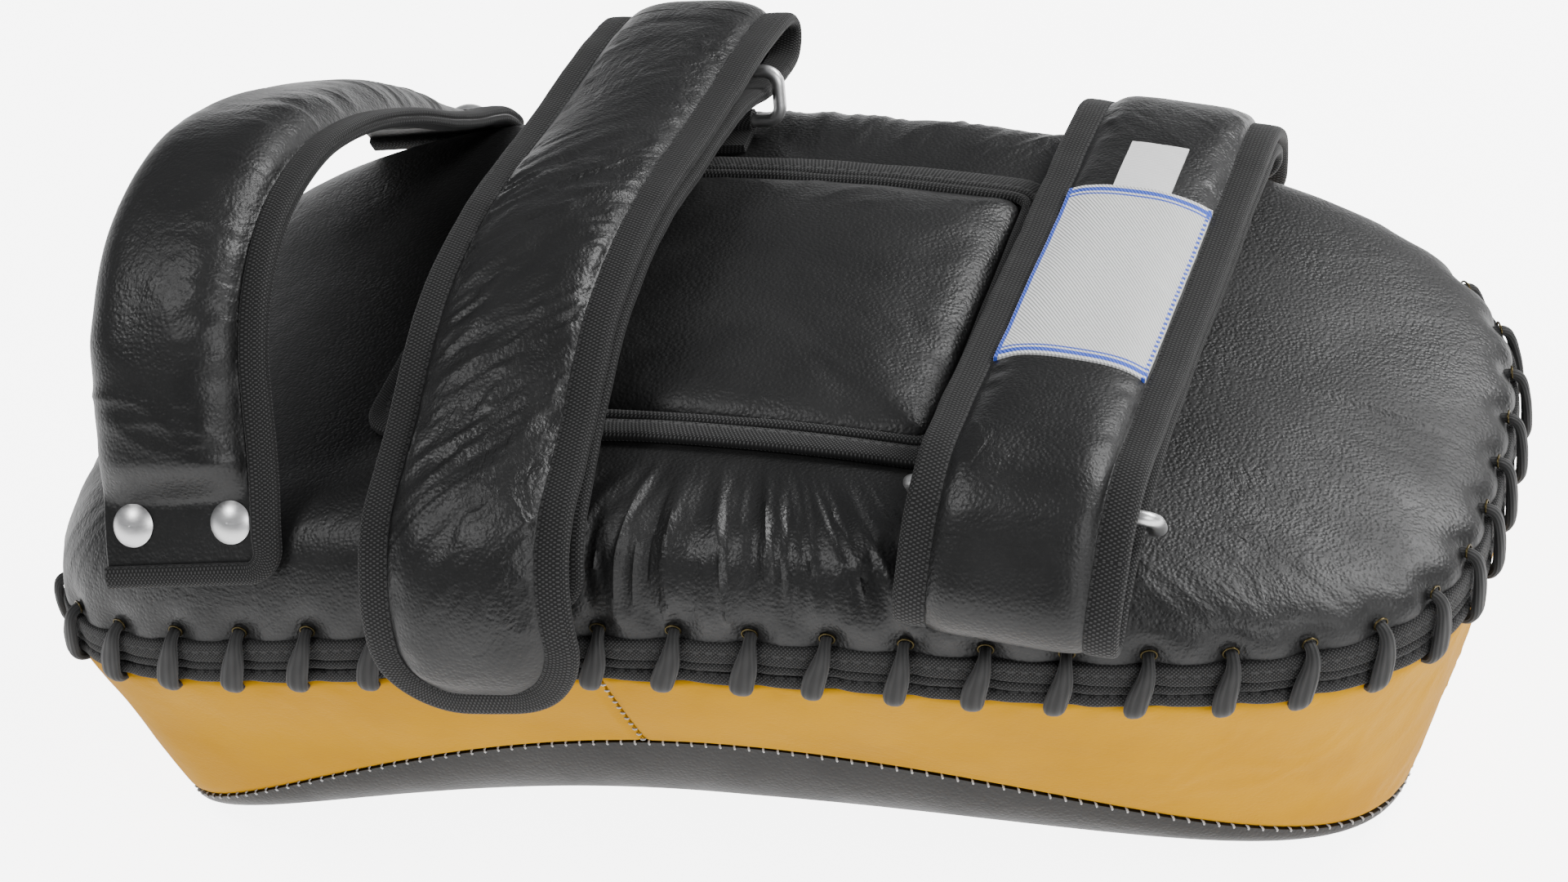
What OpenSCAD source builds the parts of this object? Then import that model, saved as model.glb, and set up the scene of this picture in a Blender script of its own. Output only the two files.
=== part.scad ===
// Thai kick pad: a curved foam striking pad with a laced leather back,
// two forearm straps that thread through metal rings, and a padded grip.
// X runs along the pad from the grip end (-) to the elbow end (+),
// Y across it, and +Z out of the forearm side. The pad lies on its striking face.

/* [Pad body] */
// Length of the laced rim
pad_len = 372; // [340:1:420]
// Width of the laced rim
pad_w = 214; // [190:1:240]
// Squareness of the outline at the grip end
grip_end_square = 4.7; // [3.5:0.1:6]
// Squareness of the outline at the elbow end
elbow_end_square = 3.3; // [2.6:0.1:5]
// How far the rim's ends drop below its middle
rim_arch = 20; // [10:1:30]
// Rise of the rim from the grip end to the elbow end
rim_rise = 12; // [0:1:16]
// Height of the back's crown over the rim's lower edge
crown_h = 40.5; // [34:0.5:50]
// How far the crown's ends drop below its middle
crown_arch = 28; // [18:1:34]
// Fall of the crown from the grip end to the elbow end
crown_fall = 9; // [0:1:14]

/* [Striking face] */
// Length of the seam round the striking face
seam_len = 333; // [300:1:372]
// Width of the seam round the striking face
seam_w = 163; // [140:1:190]
// Shift of the striking face towards the grip end
seam_shift = 6; // [0:1:10]
// Height of the side band at the middle of the pad
band_h = 41; // [30:1:55]
// How far the seam's ends drop below its middle
seam_arch = 53; // [35:1:60]
// Bulge of the striking face below the seam at the middle
face_bulge = 26; // [16:1:32]
// Bulge of the striking face below the seam at the ends
face_bulge_end = 12; // [8:1:16]

/* [Leather and lacing] */
// Thickness of the leather panels
leather_t = 2.2; // [1.6:0.1:3]
// Height of the back cover's bound edge
top_binding_h = 5.4; // [4:0.2:7]
// Height of the liner's bound edge
middle_binding_h = 3.2; // [2:0.2:5]
// Height of the side band's bound edge
low_binding_h = 4.4; // [3:0.2:6]
// Depth of a bound edge, from inside to outside
binding_d = 4.5; // [3:0.5:6]
// Diameter of the lace
lace_d = 5; // [3:0.2:6]
// Number of turns of the lace round the rim
lace_turns = 53; // [40:1:64]

/* [Arm cushion] */
// Length of the forearm cushion
cushion_len = 158; // [140:1:160]
// Width of the forearm cushion
cushion_w = 130; // [110:1:150]
// Height of the forearm cushion
cushion_h = 7.5; // [5:0.5:9]
// Distance of the cushion's centre from the pad's centre
cushion_x = 14; // [12:0.5:20]

/* [Straps] */
// Width of a forearm strap
strap_w = 55; // [45:1:62]
// Thickness of a strap's leather
strap_t = 2.5; // [2:0.1:3]
// Extra height of the padding along the flap
flap_pad_t = 3.5; // [2:0.5:5]
// Width of the binding tape along a strap's edges
tape_w = 8.5; // [6:0.5:10]
// Thickness that the binding tape adds on each face
tape_t = 0.6; // [0.4:0.1:1]
// Thickness of a hook or loop tape
fastener_t = 0.7; // [0.5:0.1:1]
// Distance of the strap near the grip from the pad's centre
strap_1_x = 48.7; // [40:0.5:60]
// Distance of the strap near the elbow from the pad's centre
strap_2_x = 87.8; // [70:0.5:100]

/* [Rings] */
// Diameter of a ring's wire
wire_d = 3.6; // [3:0.2:4.4]
// Distance between a ring's two long bars, centre to centre
ring_reach = 13.6; // [13:0.2:14.2]
// Play between a ring's short sides and the strap
ring_play = 1; // [0.6:0.1:2]

/* [Grip] */
// Width of the grip
grip_w = 48; // [40:1:52]
// Thickness of the padded part of the grip
grip_t = 12; // [9:0.5:14]
// Distance of the grip's centre from the pad's centre
grip_x = 125; // [118:0.5:128]
// Distance between the two rivets at each end of the grip
rivet_pitch = 27; // [22:0.5:32]
// Diameter of a rivet's cap
rivet_cap_d = 11; // [8:0.5:12]

/* [Hidden] */

steps = 60;            // points round the pad's outline
half_len = pad_len / 2;
half_w = pad_w / 2;
rim_t = top_binding_h + middle_binding_h + low_binding_h;
air = 0.4;             // gap between soft pieces that lie against each other
dome_power = 13;       // how late the back's shoulder turns down
dome_root = 1 / 2.4;
face_power = 5;        // the same for the striking face
face_root = 1 / 2;
seam_grip_square = 4.4;
seam_elbow_square = 2.55;
seam_fall = 6;         // fall of the seam towards the elbow end

// ---- outlines and surfaces of the body ----

// Distance from the centre to a superellipse with its own squareness at each end
function reach(t, ha, hb, ng, ne) =
    let (n = cos(t) < 0 ? ng : ne)
    pow(pow(abs(cos(t)) / ha, n) + pow(abs(sin(t)) / hb, n), -1 / n);

function rim_xy(t, grow = 0) =
    reach(t, half_len + grow, half_w + grow, grip_end_square, elbow_end_square)
    * [cos(t), sin(t)];

function seam_xy(t, grow = 0) =
    reach(t, seam_len / 2 + grow, seam_w / 2 + grow, seam_grip_square, seam_elbow_square)
    * [cos(t), sin(t)] - [seam_shift, 0];

function rim_z(x) = -rim_arch * pow(x / half_len, 2) + rim_rise * x / pad_len;
function crown_z(x) = crown_h - crown_arch * pow(x / half_len, 2) - crown_fall * x / pad_len;
function seam_z(x) = -band_h - seam_arch * pow(x / (seam_len / 2), 2) - seam_fall * x / seam_len;
function bulge(x) =
    face_bulge - (face_bulge - face_bulge_end) * min(1, pow(x / (seam_len / 2), 2));

// A point of the back at the share rho of the way from the centre to the rim
function back_point(t, rho, sink = 0) =
    let (p = rho * rim_xy(t, -sink), low = rim_z(p.x) + rim_t, top = crown_z(p.x) - sink)
    [p.x, p.y, low + (top - low) * pow(max(0, 1 - pow(rho, dome_power)), dome_root)];

// A point of the striking face, measured the same way from its seam
function face_point(t, rho, sink = 0) =
    let (p = rho * (seam_xy(t, -sink) + [seam_shift, 0]) - [seam_shift, 0], z = seam_z(p.x))
    [p.x, p.y, z - (bulge(p.x) - sink) * pow(max(0, 1 - pow(rho, face_power)), face_root)];

dome_shares = [1, 0.985, 0.955, 0.91, 0.85, 0.75, 0.5, 0.2];
face_shares = [1, 0.98, 0.93, 0.85, 0.72, 0.5, 0.25];
function angles() = [for (i = [0 : steps - 1]) 360 * i / steps];
function reversed(a) = [for (i = [len(a) - 1 : -1 : 0]) a[i]];

// The lowest point of the striking face, which is lifted to z = 0
face_low = min([for (t = angles()) for (r = [0.5 : 0.02 : 0.98]) face_point(t, r).z]);
rim_base = -face_low;

// ---- solids from rings of points ----

function centre(ring) = [for (k = [0 : 2]) (min([for (p = ring) p[k]]) + max([for (p = ring) p[k]])) / 2];
function wall_faces(rows, n, closed) =
    [for (i = [0 : rows - (closed ? 1 : 2)]) for (j = [0 : n - 1])
        let (k = (j + 1) % n, a = i * n, b = ((i + 1) % rows) * n)
        each [[a + j, a + k, b + k], [a + j, b + k, b + j]]];

// A solid through rings of equal length, closed at each end on a middle point
module loft(slices) {
    rings = reversed(slices);
    n = len(rings[0]);
    rows = len(rings);
    points = [for (r = rings) each r, centre(rings[0]), centre(rings[rows - 1])];
    polyhedron(points, concat(
        wall_faces(rows, n, false),
        [for (j = [0 : n - 1]) [rows * n, (j + 1) % n, j]],
        [for (j = [0 : n - 1]) [rows * n + 1, (rows - 1) * n + j, (rows - 1) * n + (j + 1) % n]]));
}

// A solid through rings that come back to the first one, like a hoop
module hoop(rings) {
    polyhedron([for (r = rings) each r], wall_faces(len(rings), len(rings[0]), true));
}

// ---- body of the pad ----

module strike_face() {
    color("#2b2b2c") translate([0, 0, rim_base]) loft(concat(
        reversed([for (r = face_shares) [for (t = angles()) face_point(t, r)]]),
        [for (r = face_shares) [for (t = angles()) face_point(t, r, leather_t)]]));
}

// Side band between the angles from and to, as one panel
module side_panel(from, to) {
    count = 36;
    gap = air / half_w * 180 / PI;
    turn = [for (i = [0 : count]) from + gap + (to - from - 2 * gap) * i / count];
    hoop_of = [for (t = turn)
        let (r = rim_xy(t), ri = rim_xy(t, -leather_t), s = seam_xy(t), si = seam_xy(t, -leather_t))
        [[r.x, r.y, rim_z(r.x) - 0.5], [s.x, s.y, seam_z(s.x) + air],
         [si.x, si.y, seam_z(si.x) + air], [ri.x, ri.y, rim_z(ri.x) - 0.5]]];
    translate([0, 0, rim_base]) loft(hoop_of);
}

module side_band_grip_end() {
    color("#d9a02c") side_panel(101, 259);
}

module side_band_elbow_end() {
    color("#d9a02c") side_panel(-101, 101);
}

module back_cover() {
    color("#262627") translate([0, 0, rim_base]) loft(concat(
        reversed([for (r = dome_shares) [for (t = angles()) back_point(t, r, leather_t)]]),
        [for (r = dome_shares) [for (t = angles()) back_point(t, r)]]));
}

// ---- foam slabs, laid one on another inside the covers ----

foam_gap = leather_t + 1.2;    // from the outside of the leather to the foam
rim_foam_gap = binding_d + lace_d + 2;    // the lace passes between the rim and the foam

function between(low, high, share) = low + (high - low) * share;
function foam_slice(share) = [for (t = angles())
    let (r = rim_xy(t, -rim_foam_gap), s = seam_xy(t, -foam_gap - 2),
        x = between(s.x, r.x, share), y = between(s.y, r.y, share))
    [x, y, between(seam_z(x), rim_z(x) + rim_t, share)]];
function foam_dish(rho) = [for (t = angles())
    let (p = face_point(t, 1, foam_gap + 2), q = face_point(t, rho, foam_gap + 2)) rho == 1 ? p : q];
function foam_dome(rho) = [for (t = angles())
    let (p = rho * rim_xy(t, -rim_foam_gap), low = rim_z(p.x) + rim_t, top = crown_z(p.x) - foam_gap)
    [p.x, p.y, low + (top - low) * pow(1 - pow(rho, dome_power), dome_root)]];
function lifted(ring, by) = [for (p = ring) p + [0, 0, by]];

core_low = 0.08;       // share of the side band's height where the firm core starts
core_high = 0.72;      // and where it ends

module foam_strike_layer() {
    color(foam_pale) translate([0, 0, rim_base]) loft([
        for (r = [0.25, 0.6, 0.85, 0.95, 1]) foam_dish(r), foam_slice(core_low)]);
}

module foam_core_layer() {
    color("#5b6470") translate([0, 0, rim_base])
        loft([lifted(foam_slice(core_low), air), foam_slice(0.4), foam_slice(core_high)]);
}

module foam_back_layer() {
    color(foam_pale) translate([0, 0, rim_base]) loft(concat(
        [lifted(foam_slice(core_high), air)],
        [for (r = [0.999, 0.95, 0.85, 0.6, 0.25]) foam_dome(r)]));
}

// ---- bound edges of the rim, and the lace round them ----

bind_proud = 1.4;      // how far a bound edge stands out of the side of the pad

// One bound edge: a hoop with rounded outer corners, between two heights over the rim
module bound_edge(low, high) {
    round_off = min(1.2, (high - low) / 3);
    section = [[-binding_d, low], [bind_proud - round_off, low], [bind_proud, low + round_off],
        [bind_proud, high - round_off], [bind_proud - round_off, high], [-binding_d, high]];
    translate([0, 0, rim_base]) hoop([for (t = angles())
        [for (q = section) let (p = rim_xy(t, q[0] * 0.999)) [p.x, p.y, rim_z(rim_xy(t).x) + q[1]]]]);
}

module rim_binding_top() {
    color("#3a3a3c") bound_edge(low_binding_h + middle_binding_h + 0.1, rim_t - 0.1);
}

module rim_binding_middle() {
    color("#3a3a3c") bound_edge(low_binding_h + 0.1, low_binding_h + middle_binding_h - 0.1);
}

module rim_binding_low() {
    color("#3a3a3c") bound_edge(0.1, low_binding_h - 0.1);
}

// Length along the rim up to each sampled angle, so that the turns are evenly spaced
fine = 360;
rim_lengths = [for (i = 0, s = 0; i <= fine;
    s = s + norm(rim_xy(360 * (i + 1) / fine) - rim_xy(360 * i / fine)), i = i + 1) [s, 360 * i / fine]];
rim_total = rim_lengths[fine][0];
function rim_angle(share) = lookup(rim_total * (share - floor(share)), rim_lengths);

lace_gap = lace_d / 2 + 0.25;    // from the bound edges to the middle of the lace
lace_in = -binding_d - lace_gap;
lace_out = bind_proud + lace_gap;
// One turn of the lace: share of a turn, distance out of the rim, height over the rim
lace_turn = [
    [0.00, lace_in - 0.8, rim_t * 0.5], [0.14, lace_in + 0.9, rim_t + lace_gap - 0.3],
    [0.20, lace_out - 0.7, rim_t + lace_gap - 0.8], [0.25, lace_out + 0.2, rim_t * 0.5],
    [0.30, lace_out - 0.7, -lace_gap + 0.8], [0.36, lace_in + 0.9, -lace_gap + 0.3]];
lace_lean = 0.35;      // share of a turn that the outer pass leans along the rim

function lace_point(turn, k) =
    let (row = lace_turn[k], slant = row[0] <= 0.5 ? lace_lean * row[0] : row[0],
        t = rim_angle((turn + slant) / lace_turns), p = rim_xy(t, row[1]))
    [p.x, p.y, rim_z(rim_xy(t).x) + row[2]];
function lace_route() = [for (i = [0 : lace_turns - 1]) for (k = [0 : len(lace_turn) - 1]) lace_point(i, k)];

function unit(v) = v / norm(v);
function tube_ring(route, i, d, sides) =
    let (n = len(route), along = unit(route[(i + 1) % n] - route[(i + n - 1) % n]),
        side = unit(cross(along, [route[i].y, -route[i].x, 0] / norm([route[i].x, route[i].y]))),
        other = cross(along, side))
    [for (j = [0 : sides - 1]) let (a = 360 * j / sides)
        route[i] + d / 2 * (cos(a) * side + sin(a) * other)];

module rim_lace() {
    route = lace_route();
    color("#333335") translate([0, 0, rim_base])
        hoop([for (i = [len(route) - 1 : -1 : 0]) tube_ring(route, i, lace_d, 6)]);
}

// ---- forearm cushion on the back ----

corner_points = 7;     // points round each corner of the cushion
corner_r = 14;

// The back's height over any point of the plan
function back_z(x, y) =
    let (n = x < 0 ? grip_end_square : elbow_end_square, low = rim_z(x) + rim_t,
        rho = pow(pow(abs(x) / half_len, n) + pow(abs(y) / half_w, n), 1 / n))
    low + (crown_z(x) - low) * pow(max(0, 1 - pow(rho, dome_power)), dome_root);

// Points round the cushion's outline, drawn in by inset, with a few along each side
function cushion_outline(inset) =
    let (hx = cushion_len / 2 - inset, hy = cushion_w / 2 - inset, r = max(3, corner_r - inset))
    [for (q = [[1, 1, 0], [-1, 1, 90], [-1, -1, 180], [1, -1, 270]]) each concat(
        [for (i = [0 : corner_points - 1]) let (a = q[2] + 90 * i / (corner_points - 1))
            [q[0] * (hx - r) + r * cos(a), q[1] * (hy - r) + r * sin(a)]],
        [for (k = [1 : 3]) let (f = k / 4)
            q[0] * q[1] > 0 ? [q[0] * (hx - r) * (1 - 2 * f), q[1] * hy]
                            : [q[0] * hx, q[1] * (hy - r) * (1 - 2 * f)]])];
function cushion_ring(inset, up) = [for (p = cushion_outline(inset))
    let (x = p.x - cushion_x) [x, p.y, back_z(x, p.y) + up]];

edge_h = 3.2;          // height of the cushion's bound edge
edge_w = 7;            // width of the cushion's bound edge
piping_d = 3;          // diameter of the piping inside it
cover_t = 1.2;         // thickness of the cushion's soft leather
lie = 0.3;             // gap under soft pieces that lie on the back

module cushion_cover() {
    side = edge_w + piping_d + 0.4;
    color("#2a2a2b") translate([0, 0, rim_base]) loft([
        cushion_ring(side + 42, cushion_h - cover_t), cushion_ring(side + 24, cushion_h - cover_t),
        cushion_ring(side + 8, cushion_h - cover_t - 0.6), cushion_ring(side + cover_t, edge_h * 0.55),
        cushion_ring(side + cover_t, lie), cushion_ring(side, lie), cushion_ring(side, edge_h * 0.55),
        cushion_ring(side + 1, edge_h * 0.9), cushion_ring(side + 8, cushion_h - 0.5),
        cushion_ring(side + 24, cushion_h), cushion_ring(side + 42, cushion_h)]);
}

module cushion_foam() {
    side = edge_w + piping_d + cover_t + 0.7;
    color(foam_pale) translate([0, 0, rim_base]) loft([
        cushion_ring(side + 42, lie), cushion_ring(side + 20, lie), cushion_ring(side, lie),
        cushion_ring(side, edge_h * 0.5), cushion_ring(side + 8, cushion_h - cover_t - 0.9),
        cushion_ring(side + 24, cushion_h - cover_t - 0.3),
        cushion_ring(side + 42, cushion_h - cover_t - 0.3)]);
}

module cushion_binding() {
    section = [[0, lie], [0, edge_h - 1], [1, edge_h], [edge_w - 1, edge_h], [edge_w, edge_h - 1],
        [edge_w, lie]];
    rows = [for (q = section) cushion_ring(q[0], q[1])];
    color("#39393b") translate([0, 0, rim_base]) hoop(
        [for (i = [0 : len(rows[0]) - 1]) [for (k = [0 : len(section) - 1]) rows[k][i]]]);
}

module cushion_piping() {
    r = piping_d / 2;
    rows = [for (a = [0 : 45 : 315])
        cushion_ring(edge_w + 0.2 + r - r * cos(a), edge_h * 0.55 + r * sin(a))];
    color("#39393b") translate([0, 0, rim_base]) hoop(
        [for (i = [0 : len(rows[0]) - 1]) [for (k = [0 : len(rows) - 1]) rows[k][i]]]);
}

// ---- routes of the straps: [distance towards the ring's side, height, share of padding] ----

// The lower layer up to the fold, the fold through the ring, and the flap above it
strap_1_base_route = [
    [-108.4, 18, 0], [-107.3, 25, 0], [-104.3, 32.6, 0], [-98.3, 38.4, 0], [-90, 42.8, 0],
    [-78, 48.5, 0], [-62, 56, 0], [-45, 61.5, 0], [-25, 65, 0], [-3, 65.3, 0], [18, 62.8, 0],
    [42, 60, 0], [62, 57, 0], [74, 53.6, 0], [84, 49.6, 0], [95, 46.8, 0]];
strap_1_fold_route = [
    [104, 45.2, 0], [111, 45, 0], [116, 47.6, 0], [117.4, 51.6, 0], [114, 55.4, 0], [107, 57.4, 0]];
strap_1_flap_route = [
    [98, 59, 0], [86, 60.8, 1], [63, 62.8, 1], [42, 65, 1], [18, 68, 1], [-5, 70.3, 1],
    [-30, 69.8, 1], [-48, 66.8, 1], [-64, 61, 1], [-78, 54.2, 1], [-90, 49.8, 1], [-104, 44.6, 1],
    [-113.5, 36.5, 1], [-118.6, 25, 1], [-119.6, 12, 1], [-118.6, 1, 1], [-118, -6, 0]];
strap_2_base_route = [
    [-108, 15, 0], [-107.1, 21, 0], [-104.5, 29, 0], [-97.4, 33.6, 0], [-88, 35.4, 0],
    [-75, 36.8, 0], [-50, 38.9, 0], [-25, 40.9, 0], [0, 43.2, 0], [25, 45.6, 0], [48, 47, 0],
    [64, 46.2, 0], [76, 43, 0], [86, 39, 0], [94, 35.4, 0]];
strap_2_fold_route = [
    [99.6, 31, 0], [103.4, 25.8, 0], [107.4, 22.6, 0], [111.2, 25, 0], [112, 31, 0], [109.4, 38, 0],
    [104.6, 45.6, 0]];
strap_2_flap_route = [
    [98.6, 52.4, 0], [87, 56.6, 1], [70, 55.6, 1], [50, 53.4, 1], [25, 50.7, 1], [0, 48.2, 1],
    [-20, 46.2, 1], [-47, 44, 1], [-79, 41.4, 1], [-96, 38.6, 1], [-107, 33.2, 1],
    [-115, 25.4, 1], [-118.8, 15, 1], [-119.6, 6, 1], [-118.8, -3, 1], [-118.2, -9, 0]];

// Smooth curve through points of any size, with a few steps between each two
curve_steps = 3;
function curve(p) = concat([for (i = [0 : len(p) - 2]) for (k = [0 : curve_steps - 1])
    let (t = k / curve_steps, a = p[max(0, i - 1)], b = p[i], c = p[i + 1], d = p[min(len(p) - 1, i + 2)])
    0.5 * (2 * b + (c - a) * t + (2 * a - 5 * b + 4 * c - d) * t * t + (3 * b - a - 3 * c + d) * t * t * t)],
    [p[len(p) - 1]]);

// A stretch of a curve: the whole curve, its first and last points, and how far each end is trimmed
function stretch(c, from, to, trim_from = 0, trim_to = 0) = [c, from, to, trim_from, trim_to];
function whole(route) = let (c = curve(route)) stretch(c, 0, len(c) - 1);

// A stretch's point moved to its left by off, and by pad times the share of padding
function side_point(r, i, off, pad) =
    let (c = r[0], v = c[min(len(c) - 1, i + 1)] - c[max(0, i - 1)], d = [v[0], v[1]] / norm([v[0], v[1]]),
        n = [-d[1], d[0]], share = max(0, min(1, c[i][2])),
        slide = i == r[1] ? r[3] : i == r[2] ? -r[4] : 0)
    [c[i][0], c[i][1]] + d * slide + n * (off + pad * share);

// A band along a stretch, from the offset low to the offset high, thickened by the padding
module band(r, low, high, width, pad_low = 0, pad_high = 0) {
    rotate([90, 0, 90]) linear_extrude(width, center = true) polygon(concat(
        [for (i = [r[1] : r[2]]) side_point(r, i, high, pad_high)],
        [for (i = [r[2] : -1 : r[1]]) side_point(r, i, low, -pad_low)]));
}

// A prism across the strap that rounds its far end off: the outline drawn in by inset
module end_shape(bottom, radius, inset) {
    half = strap_w / 2 - inset;
    r = radius - inset;
    arc = [for (i = [0 : 8]) 90 * i / 8];
    translate([0, -100, 0]) rotate([90, 0, 0]) linear_extrude(200, center = true) polygon(concat(
        [[-half, 200]],
        [for (a = arc) [-half + r - r * cos(a), bottom + inset + r - r * sin(a)]],
        [for (a = arc) [half - r + r * sin(a), bottom + inset + r - r * cos(a)]],
        [[half, 200]]));
    translate([-half, -1, -200]) cube([2 * half, 201, 400]);
}

base_end_r = 12;       // corner radius of the sewn end
tip_r = 22;            // corner radius of the flap's tip
half_t = strap_t / 2;

// Leather of one layer of a strap
module strap_leather(r, bottom, radius) {
    intersection() {
        band(r, -half_t, half_t, strap_w);
        end_shape(bottom, radius, tape_t);
    }
}

// Binding tape folded round the edges of the leather, and round its end
module strap_tape(r, bottom, radius) {
    difference() {
        intersection() {
            band(r, -half_t - tape_t, half_t + tape_t, strap_w + 1);
            end_shape(bottom, radius, 0);
        }
        intersection() {
            band(r, -half_t, half_t, strap_w + 2);
            end_shape(bottom, radius, tape_t);
        }
        end_shape(bottom, radius, tape_w);
    }
}

// Padded flap: a leather band with a foam pocket under its outer face
module flap_leather(r, bottom) {
    difference() {
        union() {
            strap_leather(r, bottom, tip_r);
            intersection() {
                band(r, -half_t, 0, strap_w, flap_pad_t);
                end_shape(bottom, tip_r, tape_w + 0.3);
            }
        }
        flap_foam(r, bottom, 0.1);
    }
}

// The foam fills the pocket where the padding has its full height
module flap_foam(r, bottom, grow) {
    intersection() {
        band(stretch(r[0], r[1] + 4 * curve_steps, r[2] - 3 * curve_steps),
            -half_t - flap_pad_t + cover_t - grow, -half_t + grow, strap_w);
        end_shape(bottom, tip_r, tape_w + 0.3 + cover_t - grow);
    }
}

// A thin patch on a stretch, between two distances towards the ring's side
module patch(r, from, to, low, high, width) {
    inside = [for (i = [r[1] : r[2]]) if (r[0][i][0] > from && r[0][i][0] < to) i];
    band(stretch(r[0], min(inside), max(inside)), low, high, width);
}

// ---- placing the straps ----

strap_x = [0, -strap_1_x, strap_2_x];
strap_tilt = [0, -3.5, 7.5];       // each strap lies square to the curved back
strap_pivot = [0, 45, 40];         // height about which it is tilted
ring_at = [0, [81, 43], [77, 35.8]];
ring_lean = [0, 20, 42];
fold_gap = 0.15;                   // half of the gap between a fold and its flap

base_routes = [0, strap_1_base_route, strap_2_base_route];
fold_routes = [0, strap_1_fold_route, strap_2_fold_route];
flap_routes = [0, strap_1_flap_route, strap_2_flap_route];
strap_curves = [0, for (k = [1, 2]) curve(concat(base_routes[k], fold_routes[k], flap_routes[k]))];
function fold_start(k) = curve_steps * len(base_routes[k]);
function flap_start(k) = curve_steps * (len(base_routes[k]) + len(fold_routes[k]) - 1);
function strap_base(k) = stretch(strap_curves[k], 0, fold_start(k));
function strap_fold(k) = stretch(strap_curves[k], fold_start(k), flap_start(k), 0.02, fold_gap);
function strap_base_and_fold(k) = stretch(strap_curves[k], 0, flap_start(k), 0, fold_gap);
function strap_flap(k) = stretch(strap_curves[k], flap_start(k), len(strap_curves[k]) - 1, fold_gap);

module place_strap(k) {
    translate([strap_x[k], 0, rim_base + strap_pivot[k]]) rotate([0, strap_tilt[k], 0])
        translate([0, 0, -strap_pivot[k]]) mirror([0, k == 2 ? 1 : 0, 0]) children();
}

leather = "#232324";
woven = "#3c3c3e";
satin = "#c9c9c6";
fastener = "#1c1c1d";
foam_pale = "#d8d6cc";
patch_w = strap_w - 2 * tape_w - 3;

module strap_1_base() {
    color(leather) place_strap(1) strap_leather(strap_base(1), 18, base_end_r);
}
module strap_1_fold() { color(leather) place_strap(1) strap_leather(strap_fold(1), -90, base_end_r); }
module strap_1_base_tape() {
    color(woven) place_strap(1) strap_tape(strap_base_and_fold(1), 18 - tape_t, base_end_r);
}
module strap_1_loop_patch() {
    color(fastener) place_strap(1)
        patch(strap_base(1), -64, 60, half_t, half_t + fastener_t, patch_w);
}
module strap_1_flap() { color(leather) place_strap(1) flap_leather(strap_flap(1), -5); }
module strap_1_flap_foam() {
    color(foam_pale) place_strap(1) flap_foam(strap_flap(1), -5, 0);
}
module strap_1_flap_tape() {
    color(woven) place_strap(1) strap_tape(strap_flap(1), -5, tip_r);
}
module strap_1_hook_patch() {
    color(fastener) place_strap(1)
        patch(strap_flap(1), -76, 50, half_t, half_t + fastener_t, patch_w);
}

module strap_2_base() {
    color(leather) place_strap(2) strap_leather(strap_base(2), 17, base_end_r);
}
module strap_2_fold() { color(leather) place_strap(2) strap_leather(strap_fold(2), -90, base_end_r); }
module strap_2_base_tape() {
    color(woven) place_strap(2) strap_tape(strap_base_and_fold(2), 17 - tape_t, base_end_r);
}
module strap_2_loop_patch() {
    color(fastener) place_strap(2)
        patch(strap_base(2), -70, 52, half_t, half_t + fastener_t, patch_w);
}
module strap_2_flap() { color(leather) place_strap(2) flap_leather(strap_flap(2), -8); }
module strap_2_flap_foam() {
    color(foam_pale) place_strap(2) flap_foam(strap_flap(2), -8, 0);
}
module strap_2_flap_tape() {
    color(woven) place_strap(2) strap_tape(strap_flap(2), -8, tip_r);
}
module strap_2_hook_patch() {
    color(fastener) place_strap(2)
        patch(strap_flap(2), -74, 44, half_t, half_t + fastener_t, patch_w);
}

// ---- blank woven label and size tag on the flap near the elbow ----

label_t = 0.5;
face = -half_t - flap_pad_t;

module woven_label() {
    color("#ececea") place_strap(2)
        patch(strap_flap(2), -44, 46, face - label_t - 0.05, face - 0.05, strap_w - 2 * tape_w - 1);
}
module size_tag() {
    color("#f2f2f0") place_strap(2)
        patch(strap_flap(2), -70, -46, face - label_t - 0.05, face - 0.05, 15);
}

// ---- rings and their keepers ----

ring_corner = 4;
keeper_t = 1.2;

module ring(k) {
    hx = strap_w / 2 + ring_play + wire_d / 2 - ring_corner;
    place_strap(k) translate([0, ring_at[k][0], ring_at[k][1]]) rotate([-ring_lean[k], 0, 0]) {
        for (z = [0, ring_reach]) translate([0, 0, z]) rotate([0, 90, 0])
            cylinder(h = 2 * hx, d = wire_d, center = true, $fn = 32);
        for (s = [-1, 1]) {
            translate([s * (hx + ring_corner), 0, ring_corner])
                cylinder(h = ring_reach - 2 * ring_corner, d = wire_d, $fn = 32);
            for (z = [0, 1]) translate([s * hx, 0, z == 0 ? ring_corner : ring_reach - ring_corner])
                rotate([90, 0, 0]) rotate([0, 0, s > 0 ? (z == 0 ? -90 : 0) : (z == 0 ? 180 : 90)])
                    rotate_extrude(angle = 90, $fn = 64) translate([ring_corner, 0])
                        circle(d = wire_d, $fn = 32);
        }
    }
}

// Tape that wraps the ring's lower bar, with a tail sewn flat on the back
module keeper(k) {
    inner = wire_d / 2 + 0.3;
    outer = inner + keeper_t;
    tail = 11;
    low = ring_at[k][1] - outer;
    place_strap(k) rotate([90, 0, 90]) linear_extrude(strap_w - 10, center = true) difference() {
        union() {
            translate([ring_at[k][0], ring_at[k][1]]) circle(r = outer, $fn = 48);
            translate([ring_at[k][0] - tail, low]) square([tail, 2 * keeper_t]);
        }
        translate([ring_at[k][0], ring_at[k][1]]) circle(r = inner, $fn = 48);
    }
}

module ring_1() { color(satin) ring(1); }
module ring_1_keeper() { color(woven) keeper(1); }
module ring_2() { color(satin) ring(2); }
module ring_2_keeper() { color(woven) keeper(2); }

// ---- padded grip, riveted to the back at both ends ----

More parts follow.
